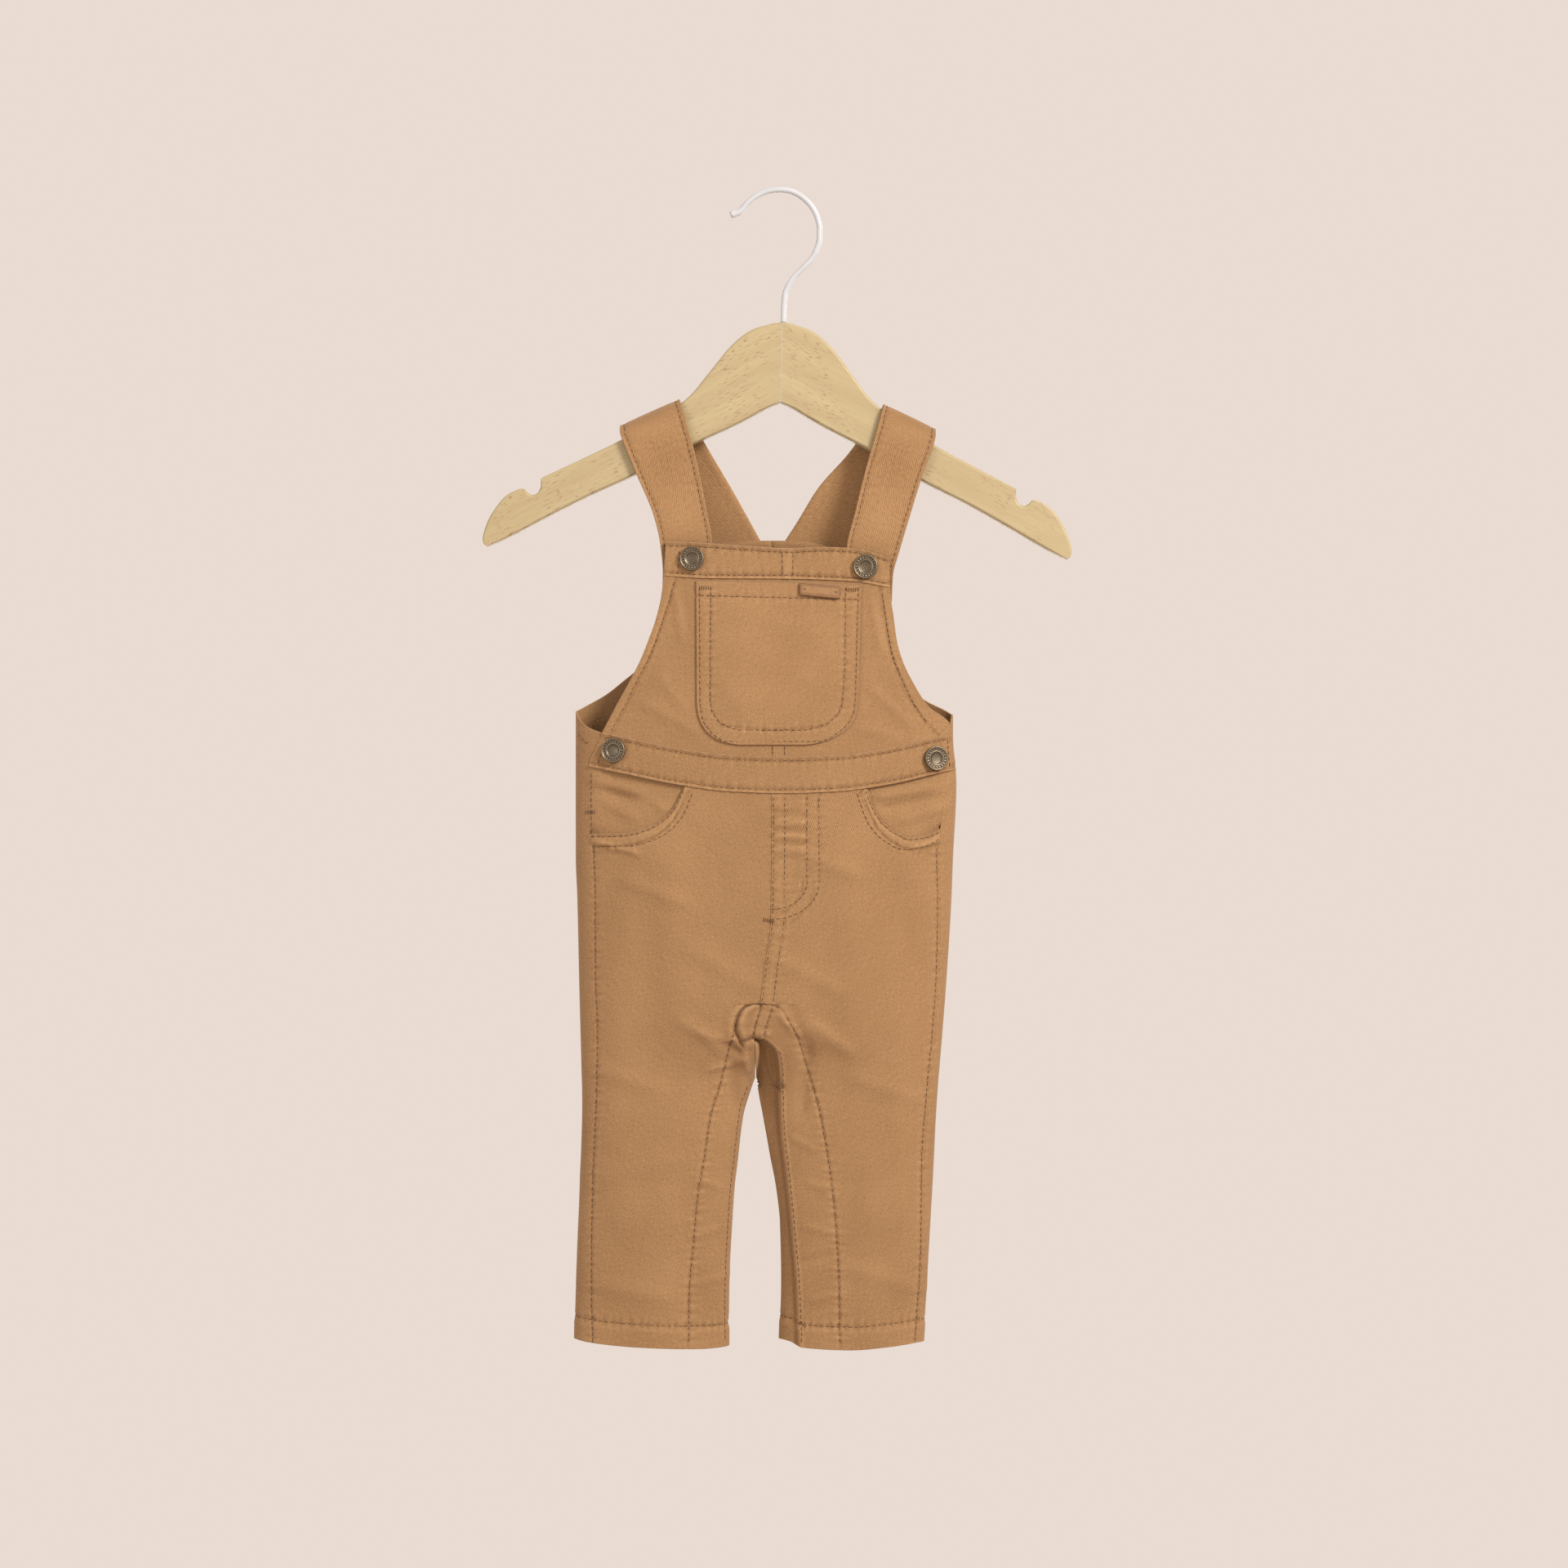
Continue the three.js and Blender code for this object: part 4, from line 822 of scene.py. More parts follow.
def wood(name):
    """Varnished pale wood: long soft grain along the arm and short reddish pore flecks."""
    f = Finish(name, Roughness=0.5, Coat_Weight=0.05, Coat_Roughness=0.35)
    uv = f.node("UVMap", {"uv_map": "cloth"})
    u, v, _ = f.parts(uv)
    long_at = f.node("CombineXYZ", X=u * 9.0, Y=v * 130.0, Z=0.0)
    grain = f.node("TexNoise", Vector=long_at, Scale=1.0, Detail=5.0, Roughness=0.62)
    fine = f.node("TexNoise", Vector=f.node("CombineXYZ", X=u * 60.0, Y=v * 900.0, Z=0.0),
                  Scale=1.0, Detail=3.0)
    fleck_at = f.node("CombineXYZ", X=u * 260.0, Y=v * 1500.0, Z=0.0)
    fleck = f.node("TexNoise", Vector=fleck_at, Scale=1.0, Detail=0.0)
    patch = f.node("TexNoise", Vector=uv, Scale=38.0, Detail=1.0)
    dots = f.node("ValToRGB", {"stops": [(0.66, (0, 0, 0)), (0.71, (1, 1, 1))]}, Fac=fleck)
    where = f.node("ValToRGB", {"stops": [(0.42, (0, 0, 0)), (0.56, (1, 1, 1))]}, Fac=patch)
    base = f.mix(grain, linear(156, 136, 98), linear(184, 168, 130))
    base = f.mix((fine - 0.35) * 0.6, base, linear(146, 122, 82))
    base = f.mix(dots * where * 0.5, base, linear(124, 84, 54))
    return f.finish(base, 0.46 + fine * 0.12, fine * 0.6 - dots * where * 0.6, 0.12, 0.0002)


def enamel(name):
    """White enamelled wire with a faint mottling."""
    f = Finish(name, Roughness=0.34, Coat_Weight=0.2, Coat_Roughness=0.2)
    where = f.node("TexCoord", output=3)
    tone = f.node("TexNoise", Vector=where, Scale=220.0, Detail=2.0)
    colour = f.mix(tone, linear(176, 177, 180), linear(192, 193, 196))
    return f.finish(colour, 0.32 + tone * 0.1, tone, 0.05, 0.0002)


def antique_metal(name):
    """Antique pewter brass: bright worn high spots, dark in the hollows."""
    f = Finish(name, Metallic=0.85, Roughness=0.42)
    wear = f.node("Attribute", {"attribute_name": "wear"}, output=2)
    where = f.node("TexCoord", output=3)
    tone = f.node("TexNoise", Vector=where, Scale=900.0, Detail=3.0)
    level = (wear * 0.8 + (tone - 0.5) * 0.5 + 0.1).clamp()
    colour = f.mix(level, linear(40, 33, 26), linear(132, 118, 98))
    return f.finish(colour, 0.5 - level * 0.16, tone, 0.15, 0.0001)


def leather(name):
    """Smooth tan leather for the blank tab."""
    f = Finish(name, Roughness=0.55)
    where = f.node("TexCoord", output=3)
    grain = f.node("TexVoronoi", Vector=where, Scale=2600.0)
    cloud = f.node("TexNoise", Vector=where, Scale=300.0, Detail=3.0)
    wear = f.node("Attribute", {"attribute_name": "wear"}, output=2)
    # the attribute darkens the tab's pressed rim, edge and dots: painted shade
    colour = f.mix((cloud * 0.5 + 0.35 + wear * 0.6).clamp(), linear(96, 62, 34), linear(158, 117, 74))
    return f.finish(colour, 0.5 + cloud * 0.15, grain + cloud, 0.2, 0.0002)


MATERIALS = {}


def materials():
    """The finishes, made once."""
    if not MATERIALS:
        p = bpy.context.scene.overalls_cloth
        light, dark = tuple(p.light_yarn), tuple(p.dark_yarn)
        MATERIALS.update({
            "twill": twill("camel_twill", light, dark),
            "strap": twill("strap_twill", *(tuple(c * 1.04 for c in yarn) for yarn in (light, dark)), -1.0),
            "thread": thread("brown_thread", tuple(p.thread)),
            "wood": wood("pale_wood"),
            "enamel": enamel("white_enamel"),
            "metal": antique_metal("antique_metal"),
            "leather": leather("tan_leather"),
        })
    return MATERIALS


# Pieces

def rows_between(low, high, step):
    return np.linspace(low, high, max(2, int(round(abs(high - low) / step)) + 1))


def make_front(half, step):
    shares = np.linspace(0, 1, int(round(92 / step)))
    outer = side_length[half] - SEAM_GAP
    above = np.full(len(LEVELS), SEAM_GAP)
    legs = cut(half, rows_between(HEM_Z, ARCH_Z - 0.3, step), shares, gusset_length[half] + SEAM_GAP, outer)
    hips = cut(half, rows_between(ARCH_Z + 0.2, MOUTH_BASE_Z, step), shares, above, outer)

    def rise(x, level):
        top = np.minimum(waist_edge(x) - 0.1, mouth[half](x))
        return lerp(height(x, MOUTH_BASE_Z), top, (level - MOUTH_BASE_Z) / (WAIST_Z - MOUTH_BASE_Z))

    top = cut(half, rows_between(MOUTH_BASE_Z, WAIST_Z, step)[1:], shares, above, outer, rise)
    return body_piece(f"front_{half}", half, [legs, hips, top], materials())


def make_hip_pocket(half, step):
    start = length_at(half, np.full(len(LEVELS), -43.5 if half == "left" else 38.5))
    shares = np.linspace(0, 1, int(round(54 / step)))

    def rise(x, level):
        low = np.minimum(mouth[half](x), waist_edge(x)) - 6
        return lerp(low, waist_edge(x) - 0.1, (level + 330) / (WAIST_Z + 330))

    turn, z = cut(half, rows_between(-330, WAIST_Z, step), shares, start, side_length[half] - 0.05, rise)
    points, normals = surface(half, turn, z, small=ridges(CREASES["front"], *skin_xz(half, turn, z)))
    above = ease((z - mouth[half](points[..., 0]) - 0.5) / 3.5)
    to_side = ease((shares - 0.72) / 0.24)
    points = points + normals * (LAYER * (above * to_side - 1))[..., None]
    return cloth_piece(f"hip_pocket_{half}", points, normals, materials()["twill"],
                       nodes=[f"hip_pocket_{half}"])


def skin_xz(half, turn, z):
    return skin(half, turn, z)[..., 0], z


def make_gusset(half, step):
    shares = np.linspace(0, 1, int(round(30 / step)))
    grid = cut(half, rows_between(HEM_Z, ARCH_Z - 0.5, step), shares, inseam_length[half] + SEAM_GAP,
               gusset_length[half] - SEAM_GAP)
    return body_piece(f"gusset_{half}", half, [grid], materials())


def make_back(half, step):
    shares = np.linspace(0, 1, int(round(112 / step)))
    start, stop = side_length[half] + SEAM_GAP, total_length[half] + inseam_length[half] - SEAM_GAP
    base = WAIST_Z + WAISTBAND
    lower = cut(half, rows_between(HEM_Z, base, step), shares, start, stop)
    turn = lower[0][-1]
    x = skin(half, turn, np.full_like(turn, base))[:, 0]
    across = np.clip((x - middle(base)) / (outline[half](base) - middle(base)), 0, 1)
    top = np.where(turn < 1, front_lip[half](across), back_edge[half](across))
    t = np.linspace(0, 1, int(round(100 / step)))[1:, None]
    upper = (np.repeat(turn[None], len(t), 0), lerp(height(x, base)[None], top[None], t))
    return body_piece(f"back_{half}", half, [lower, upper], materials())


def front_grid(rows, columns, left, right, low, high):
    """x and z of a flat piece of the front, between two side curves over z and two edges
    over x; a few passes settle the two against each other."""
    t, s = rows[:, None], columns[None, :]
    z = lerp(low(np.zeros_like(s)), high(np.zeros_like(s)), t) + 0 * s
    x = z * 0
    for _ in range(5):
        x = lerp(left(z), right(z), s)
        z = lerp(low(x), high(x), t)
    return x, z


BIB_STITCH = table("z left right", [
    [-198, -53.6, 50.8], [-202.3, -54.4, 51.5], [-220.2, -59.8, 54.2], [-235.1, -65.2, 56.9],
    [-251.3, -73.4, 63.1], [-265.8, -80.6, 71.0], [-276.6, -86.4, 80.5], [-284, -90, 87]])
bib_stitch = {s: track(BIB_STITCH, "z", s) for s in SIDES}


def bib_relief(x, z):
    """Relief of the bib: creases, puckers along the side stitching and the doubled edge."""
    d = ridges(CREASES["front"], x, z)
    for half, seed in (("left", 21.0), ("right", 22.0)):
        off = (bib_stitch[half](z) - x) * OUTWARD[half]
        d = d + pucker(off, z, window(z, -280, -200), seed, 0.35, 0.3)
        d = d + 0.4 * ease((0.6 - off) / 1.0)
    return d


def make_bib(half, step):
    sign = OUTWARD[half]
    rows = np.linspace(0, 1, int(round(92 / step)))
    columns = np.linspace(0, 1, int(round(72 / step)))
    x, z = front_grid(rows, columns, lambda z: middle(z) + sign * SEAM_GAP, bib_side[half],
                      lambda x: height(x, WAIST_Z + WAISTBAND) + 0.05, lambda x: band_seam(x) - 0.1)
    points, normals = on_front(x, z, bib_relief)
    # painted light and shade from the relief: darker in the stitch valleys and creases, paler on the doubled
    # edge
    around = (bib_relief(x + SHADE_AND_WEAR_STEP, z) + bib_relief(x - SHADE_AND_WEAR_STEP, z)) / 2
    shade = np.clip((bib_relief(x, z) - around) * 2.2, -1, 1)
    return cloth_piece(f"bib_{half}", points, normals, materials()["twill"],
                        nodes=[f"bib_{half}"], shade=shade)


def band_relief(low, high, seed):
    """Relief of a folded band: a narrow ridge on each edge, a valley on each stitch line and
    ripples between them."""
    def shape(x, z):
        a, b = z - low(x), high(x) - z
        d = (pucker(a - BAND_STITCH, x, 1.0, seed, 0.45, 0.32, 3.6)
             + pucker(b - BAND_STITCH, x, 1.0, seed + 1, 0.45, 0.32, 3.6))
        return d + 0.35 * np.exp(-((a / 0.9) ** 2)) + 0.35 * np.exp(-((b / 0.9) ** 2))
    return shape


def waist_high(x):
    return height(x, WAIST_Z + WAISTBAND)


def make_waistband(step):
    shape = band_relief(waist_edge, waist_high, 31.0)
    parts = []
    levels = rows_between(WAIST_Z + 0.05, WAIST_Z + WAISTBAND - 0.05, 0.7 * step)
    for half in SIDES:
        shares = np.linspace(0, 1, int(round(105 / step)))
        turn, z = cut(half, levels, shares, np.zeros(len(LEVELS)), side_length[half] - 0.1)
        p, n = place(half, turn, z)
        parts.append((p[:, ::-1], n[:, ::-1]) if half == "left" else (p[:, 1:], n[:, 1:]))
    points, normals = (np.concatenate([a[i] for a in parts], 1) for i in (0, 1))
    d = shape(points[..., 0], points[..., 2])
    # colour follows the relief: painted shade in the stitch valleys, paler edge ridges as painted highlight and
    # rubbing
    return cloth_piece("waistband", points + normals * d[..., None], normals, materials()["twill"],
                       outer=BAND_PROUD, thick=BAND_THICK, nodes=["waistband"], shade=np.clip(d * 1.6, -1, 1))


def band_shape(x, z):
    """The bib band's relief, with its middle double seam."""
    d = band_relief(band_seam, bib_top, 41.0)(x, z)
    for off, seed in ((1.2, 43.0), (6.6, 44.0)):
        d = d + pucker(x - off, z, 1.0, seed, 0.35, 0.15, 2.0)
    return d + 0.3 * np.exp(-(((x - 3.9) / 3.4) ** 4))


def make_bib_band(step):
    x, z = front_grid(np.linspace(0, 1, int(round(26 / step))), np.linspace(0, 1, int(round(120 / step))),
                      bib_side["left"], bib_side["right"], band_seam, bib_top)
    points, normals = on_front(x, z, band_shape)
    # colour follows the relief: painted shade in the stitch valleys, paler edge ridges as painted highlight and
    # rubbing
    return cloth_piece("bib_band", points, normals, materials()["twill"], outer=BAND_PROUD, thick=BAND_THICK,
                       nodes=["bib_band"], shade=np.clip(band_shape(x, z) * 1.6, -1, 1))


def pocket_top(x):
    return -199.0 - 0.025 * (x + 42)


def pocket_relief(x, z):
    """Relief of the patch pocket: its turned edge, the two stitch lines and a soft belly."""
    d = ridges(CREASES["front"], x, z) * 0.8
    for half, seed in (("left", 51.0), ("right", 52.0)):
        sign = OUTWARD[half]
        inner = (pocket_stitch[half](z) - x) * sign
        d = d + pucker(inner, z, window(z, -268, -203), seed, 0.35, 0.3)
        edge = (pocket_side[half](z) - x) * sign
        d = d + pucker(edge - 1.5, z, window(z, -274, -203), seed + 2, 0.25, 0.15, 1.8)
    low = z + 274.8 - 0.018 * np.abs(x + 3) ** 1.5
    d = d + pucker(low, x, window(x, -28, 22, 5), 55.0, 0.35, 0.3)
    d = d + pucker(z - pocket_top(x) + POCKET_HEM, x, window(x, -42, 41), 56.0, 0.35, 0.25)
    return d + 0.9 * np.exp(-(((x + 1) / 27) ** 4) - ((z + 238) / 30) ** 4)


def make_bib_pocket(step):
    rows = np.concatenate([np.linspace(0, 0.16, int(round(26 / step))),
                           np.linspace(0.16, 1, int(round(70 / step)))[1:]])
    columns = np.linspace(0, 1, int(round(86 / step)))
    x, z = front_grid(rows, columns, pocket_side["left"], pocket_side["right"],
                      lambda x: -282.0 + 0 * x, pocket_top)
    points, normals = on_front(x, z, pocket_relief)
    d = pocket_relief(x, z)
    # painted light and shade from the pocket's relief: darker in the stitch valleys, paler on its turned edge
    # and belly
    around = (pocket_relief(x + SHADE_AND_WEAR_STEP, z) + pocket_relief(x - SHADE_AND_WEAR_STEP, z)
              + pocket_relief(x, z + SHADE_AND_WEAR_STEP) + pocket_relief(x, z - SHADE_AND_WEAR_STEP)) / 4
    return cloth_piece("bib_pocket", points, normals, materials()["twill"], outer=POCKET_PROUD,
                       nodes=["bib_pocket"],
                       shade=np.clip((d - around) * 2.2, -1, 1))


def make_label():
    """The blank leather tab: a rounded rectangle with a pressed rim and two dots."""
    rows, columns = np.linspace(0, 1, 19), np.linspace(0, 1, 53)
    t, s = rows[:, None], columns[None, :]
    inset = 1.7 * (1 - np.sqrt(np.clip(1 - (1 - np.clip(t / 0.24, 0, 1)) ** 2, 0, 1)))
    x = lerp(10.1 + inset, 30.2 - inset, s)
    z = lerp(-206.1, -200.3, t) - 0.1 * (x - 10)
    u, v = np.minimum(x - 10.1, 30.2 - x), np.minimum(t, 1 - t) * 5.8
    edge = np.minimum(u, v)
    d = -0.2 * np.exp(-(((edge - 0.9) / 0.3) ** 2)) + 0.3 * ease(edge / 0.7) - 0.3
    for dot in (12.3, 28.2):
        d = d - 0.5 * np.exp(-(((x - dot) / 0.5) ** 2) - ((t - 0.5) * 5.8 / 0.5) ** 2)
    points, normals = on_front(x, z)
    points = points + normals * (d + POCKET_PROUD + 1.9)[..., None]
    # colour follows the pressed depth: painted shade in the rim groove, at the outer edge and in the two dots
    return cloth_piece("label", points, normals, materials()["leather"], thick=1.0,
                       nodes=["label"], declare=False, shade=np.clip(d * 3 + 0.2, -1, 1))


STRAP_COLUMNS = "outX outZ inX inZ y"
STRAPS = {
    "left": table(STRAP_COLUMNS, [
        [-59.4, -207, -35.2, -207, -8.7], [-59.2, -194, -34.9, -193, -8.8], [-60.6, -179, -35.0, -178.7, -8.9],
        [-63.9, -165, -37.4, -164, -9.1], [-72.6, -144.2, -42.2, -140, -9.3], [-79.3, -128, -46.4, -123, -9.3],
        [-80.9, -123.4, -49.6, -111.6, -9.0], [-81.3, -120.7, -51.0, -107.4, -7.8],
        [-81.4, -119.3, -51.5, -105.9, -3.4], [-81.4, -119.3, -51.5, -105.9, 3.4],
        [-81.1, -121.0, -50.8, -107.4, 7.8], [-79.6, -125.0, -49.2, -110.8, 9.0],
        [-74.0, -134, -44.4, -118, 9.4],
        [-64.0, -150, -35.0, -134, 9.8], [-54.0, -166, -24.4, -152, 10.2], [-46.4, -178, -16.0, -167, 11.9],
        [-39.4, -189, -6.6, -184, 13.1]]),
    "right": table(STRAP_COLUMNS, [
        [56.6, -209, 33.0, -209, -8.7], [57.2, -196, 33.4, -195, -8.8], [60.8, -182.4, 34.4, -180.7, -8.9],
        [65.6, -166.2, 38.2, -165, -9.1], [72.2, -145, 44.0, -141.7, -9.3],
        [77.4, -131, 49.2, -123.5, -9.3],
        [78.9, -125, 51.8, -113.6, -9.0], [79.2, -122.4, 52.8, -109.9, -7.8], [79.3, -121.0, 53.1, -108.4, -3.4],
        [79.3, -121.0, 53.1, -108.4, 3.4], [78.8, -122.6, 52.4, -109.9, 7.8], [77.0, -126.8, 50.6, -113.6, 9.0],
        [70.6, -136, 45.0, -120, 9.4], [59.6, -151, 34.4, -134, 9.8], [48.0, -166, 20.2, -150, 10.2],
        [39.6, -178, 9.6, -167, 11.9], [32.0, -189, -1.4, -184, 13.1]]),
}


def strap_surface(half, at, share):
    """Points and outward directions of a strap: at runs over the table's rows, share from
    the outer edge to the inner one; edges are ridged, with a valley under each stitch line."""
    rows = STRAPS[half]
    index = {"i": np.arange(len(rows["y"]), dtype=float)}
    c = {name: track({**index, name: rows[name]}, "i", name) for name in rows}

    def base(a, s):
        return np.stack(np.broadcast_arrays(lerp(c["outX"](a), c["inX"](a), s), c["y"](a) + 0 * s,
                                            lerp(c["outZ"](a), c["inZ"](a), s)), -1)

    p = base(at, share)
    n = unit(np.cross(base(at + 0.03, share) - base(at - 0.03, share),
                      base(at, share + 0.05) - base(at, share - 0.05))) * OUTWARD[half]
    off = np.minimum(share, 1 - share) * STRAP_WIDTH
    d = pucker(off - STRAP_STITCH, at * 14, 1.0, 61.0, 0.3, 0.12, 2.4) + 0.2 * np.exp(-((off / 1.0) ** 2))
    d = d + 0.35 * np.sin(np.pi * share) * np.sin(at * 2.4 + 1.0) * 0.6
    return p + n * d[..., None], n, d


def make_strap(half, step):
    count = len(STRAPS[half]["y"]) - 1
    at = np.linspace(0, count, int(round(190 / step)))[:, None]
    share = np.linspace(0, 1, int(round(34 / (0.8 * step))))[None, :]
    points, normals, d = strap_surface(half, at + 0 * share, share + 0 * at)
    # colour follows the strap's relief: painted shade in the stitch valleys, paler on the ridged edges
    return cloth_piece(f"strap_{half}", points, normals, materials()["strap"],
                       thick=BAND_THICK, nodes=[f"strap_{half}"], shade=np.clip(d * 1.5, -1, 1), folded=True,
                       uv=np.stack([(share + 0 * at) * 30, (at + 0 * share) * 12], -1))


SNAPS = {"snap_bib_left": (-44.6, -187.6), "snap_bib_right": (43.4, -191.7),
         "snap_waist_left": (-84.1, -284.9), "snap_waist_right": (78.8, -288.9)}


def make_snap(name, x, z):
    """A snap cap: a profile turned about its axis, with a rounded rim, a ring of plain
    flutes and a dished middle; height in the ring varies as cos(20 angle)."""
    r = np.array([0.0, 0.8, 1.6, 2.4, 2.9, 3.2, 3.45, 3.7, 3.95, 4.2, 4.5, 4.8, 5.1, 5.3, 5.5, 5.75, 6.0,
                  6.15, 6.25, 6.2, 6.0, 5.6])
    h = np.array([0.95, 0.97, 1.02, 1.1, 1.2, 1.45, 1.62, 1.66, 1.56, 1.5, 1.5, 1.52, 1.56, 1.7, 1.95, 2.1,
                  2.0, 1.7, 1.2, 0.7, 0.2, 0.0])
    worn = np.array([0.5, 0.5, 0.5, 0.45, 0.25, 0.6, 1.0, 0.9, 0.2, 0.0, 0.1, 0.1, 0.1, 0.3, 0.8, 1.0, 0.9,
                     0.7, 0.4, 0.2, 0.1, 0.0])
    angle = np.arange(80) * 2 * np.pi / 80
    ring = np.exp(-(((r - 4.65) / 0.5) ** 4))[:, None]
    flute = 0.5 + 0.5 * np.cos(20 * angle)[None, :]
    tall = h[:, None] + 0.32 * ring * flute
    worn = worn[:, None] + 0.8 * ring * flute
    p, n = on_front(np.array([x]), np.array([z]))
    normal = n[0]
    side = unit(np.cross([0.0, 0.0, 1.0], normal))
    up = np.cross(normal, side)
    seat = p[0] + normal * 0.95
    points = (seat + side * (r[:, None] * np.cos(angle))[..., None]
              + up * (r[:, None] * np.sin(angle))[..., None]
              + normal * tall[..., None])[1:]
    columns = len(angle)
    rows = len(points)
    at = np.arange(rows * columns).reshape(rows, columns)
    a, b, c, d = at[:-1], np.roll(at[:-1], -1, 1), np.roll(at[1:], -1, 1), at[1:]
    faces = np.stack([a, d, c, b], -1).reshape(-1, 4).tolist()
    middle_at, back_at = rows * columns, rows * columns + 1
    faces += np.stack([at[0], np.roll(at[0], -1), np.full(columns, middle_at)], -1).tolist()
    faces += np.stack([np.roll(at[-1], -1), at[-1], np.full(columns, back_at)], -1).tolist()
    vertices = np.concatenate([points.reshape(-1, 3), [seat + normal * 0.95], [seat]])
    shade = np.concatenate([(worn + 0 * angle)[1:].ravel(), [0.5, 0.0]])
    obj = new_object(f"{name}_cap", vertices, faces, materials()["metal"], shade=shade)
    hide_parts(name)
    return obj


HANGER = table("out up", [
    [0.0, -0.2], [3.5, -0.5], [7.0, -1.4], [14.9, -4.1], [21.4, -8.6], [27.2, -14.4], [32.5, -21.2],
    [38.0, -28.4], [44.3, -36.6], [50.4, -42.4], [58.0, -47.6], [80.3, -61.6], [98.0, -70.8], [108.7, -76.2],
    [119.6, -81.6], [121.0, -83.2], [121.0, -86.4], [122.4, -89.6], [125.0, -90.8], [127.6, -89.6],
    [129.2, -87.9], [131.0, -87.8], [133.6, -88.7], [139.0, -92.0], [143.5, -97.5], [147.5, -104.5],
    [149.8, -112.0], [149.7, -115.4], [148.6, -116.9], [146.5, -117.0], [134.0, -111.0], [113.6, -99.7],
    [95.0, -89.9], [72.8, -79.2], [45.5, -64.1], [24.9, -54.1], [14.0, -48.2], [6.0, -43.6], [0.0, -41.0]])


def make_hanger(half):
    """One wooden half: its outline smoothed by a Catmull-Rom curve, carried through a row of
    insets that round both edges, and closed by flat faces."""
    sign = OUTWARD[half]
    raw = np.stack([HANGER["out"], HANGER["up"]], -1)
    pad = np.concatenate([raw[:1], raw, raw[-1:]])
    t = np.linspace(0, 1, 6, endpoint=False)[None, :, None]
    a, b, c, d = (pad[i:len(pad) - 3 + i, None] for i in range(4))
    line = 0.5 * (2 * b + (c - a) * t + (2 * a - 5 * b + 4 * c - d) * t * t + (3 * b - a - 3 * c + d) * t**3)
    line = np.concatenate([line.reshape(-1, 2), raw[-1:]])
    line[:, 0] = np.maximum(line[:, 0], 0) + 0.12
    loop = np.concatenate([line, [[0.12, -20.0]]])
    ahead, behind = np.roll(loop, -1, 0), np.roll(loop, 1, 0)
    tangent = unit(ahead - behind)
    inward = np.stack([tangent[:, 1], -tangent[:, 0]], -1)
    inward[0], inward[-2], inward[-1] = (0, -1), (0, 1), (0, 0)
    # a tight outward bend takes less inset, so that the rings never cross themselves
    turned = np.roll(tangent, -1, 0) - np.roll(tangent, 1, 0)
    bend = (turned * inward).sum(1) / np.maximum(np.linalg.norm(ahead - behind, axis=1), 0.2)
    bend = np.max([np.roll(bend, i) for i in range(-4, 5)], axis=0)
    room = 1 / (1 + np.maximum(0, bend) * 2.2)
    room = np.mean([np.roll(room, i) for i in range(-3, 4)], axis=0)[:, None]
    rings = []
    for y, inset in ((-6.0, 1.3), (-5.8, 0.7), (-5.2, 0.2), (-4.3, 0.0), (4.3, 0.0), (5.2, 0.2), (5.8, 0.7),
                     (6.0, 1.3)):
        at = loop + inward * inset * room
        at[:, 0] = np.maximum(at[:, 0], 0.12)
        rings.append(np.stack([at[:, 0] * sign, np.full(len(at), y), at[:, 1]], -1))
    points = np.stack(rings)
    tilt = math.radians(1.29)
    x, z = points[..., 0].copy(), points[..., 2].copy()
    points[..., 0] = 1.2 + x * math.cos(tilt) + z * math.sin(tilt)
    points[..., 2] = -66.6 + z * math.cos(tilt) - x * math.sin(tilt)
    count = points.shape[1]
    at = np.arange(points.shape[0] * count).reshape(-1, count)
    a, b, c, d = at[:-1], np.roll(at[:-1], -1, 1), np.roll(at[1:], -1, 1), at[1:]
    faces = np.stack([a, b, c, d], -1).reshape(-1, 4).tolist() + [at[0, ::-1].tolist(), at[-1].tolist()]
    slope = math.radians(27.0)
    along = x * sign * math.cos(slope) - z * math.sin(slope)
    across = x * sign * math.sin(slope) + z * math.cos(slope)
    uv = np.stack([along + (0 if half == "left" else 400), across + points[..., 1] * 0.4], -1).reshape(-1, 2)
    obj = new_object(f"hanger_{half}_arm", points.reshape(-1, 3), faces, materials()["wood"], uv=uv)
    mesh = obj.data
    if sign > 0:
        mesh.flip_normals()
    mesh.polygons.foreach_set("use_smooth", [len(p.vertices) == 4 for p in mesh.polygons])
    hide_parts(f"hanger_{half}")
    return obj


HOOK = table("x z radius", [
    [1.8, -66.6, 1], [2.1, -58.3, 1], [2.7, -51.8, 1], [6.6, -44.0, 1], [11.6, -38.8, 1], [15.6, -34.6, 1],
    [18.6, -29.6, 1], [20.2, -23.8, 1], [20.3, -18.6, 1], [19.4, -13.6, 1], [17.2, -8.6, 1], [13.6, -4.2, 1],
    [9.4, -1.0, 1], [4.7, 1.0, 1], [0.0, 1.55, 1], [-4.8, 1.1, 1], [-9.3, -0.4, 1], [-13.4, -2.7, 1],
    [-17.0, -5.8, 1], [-19.2, -8.4, 1], [-21.2, -10.1, 1.1], [-24.0, -11.1, 1.35], [-24.9, -11.4, 1.15],
    [-25.4, -11.6, 0.6]])


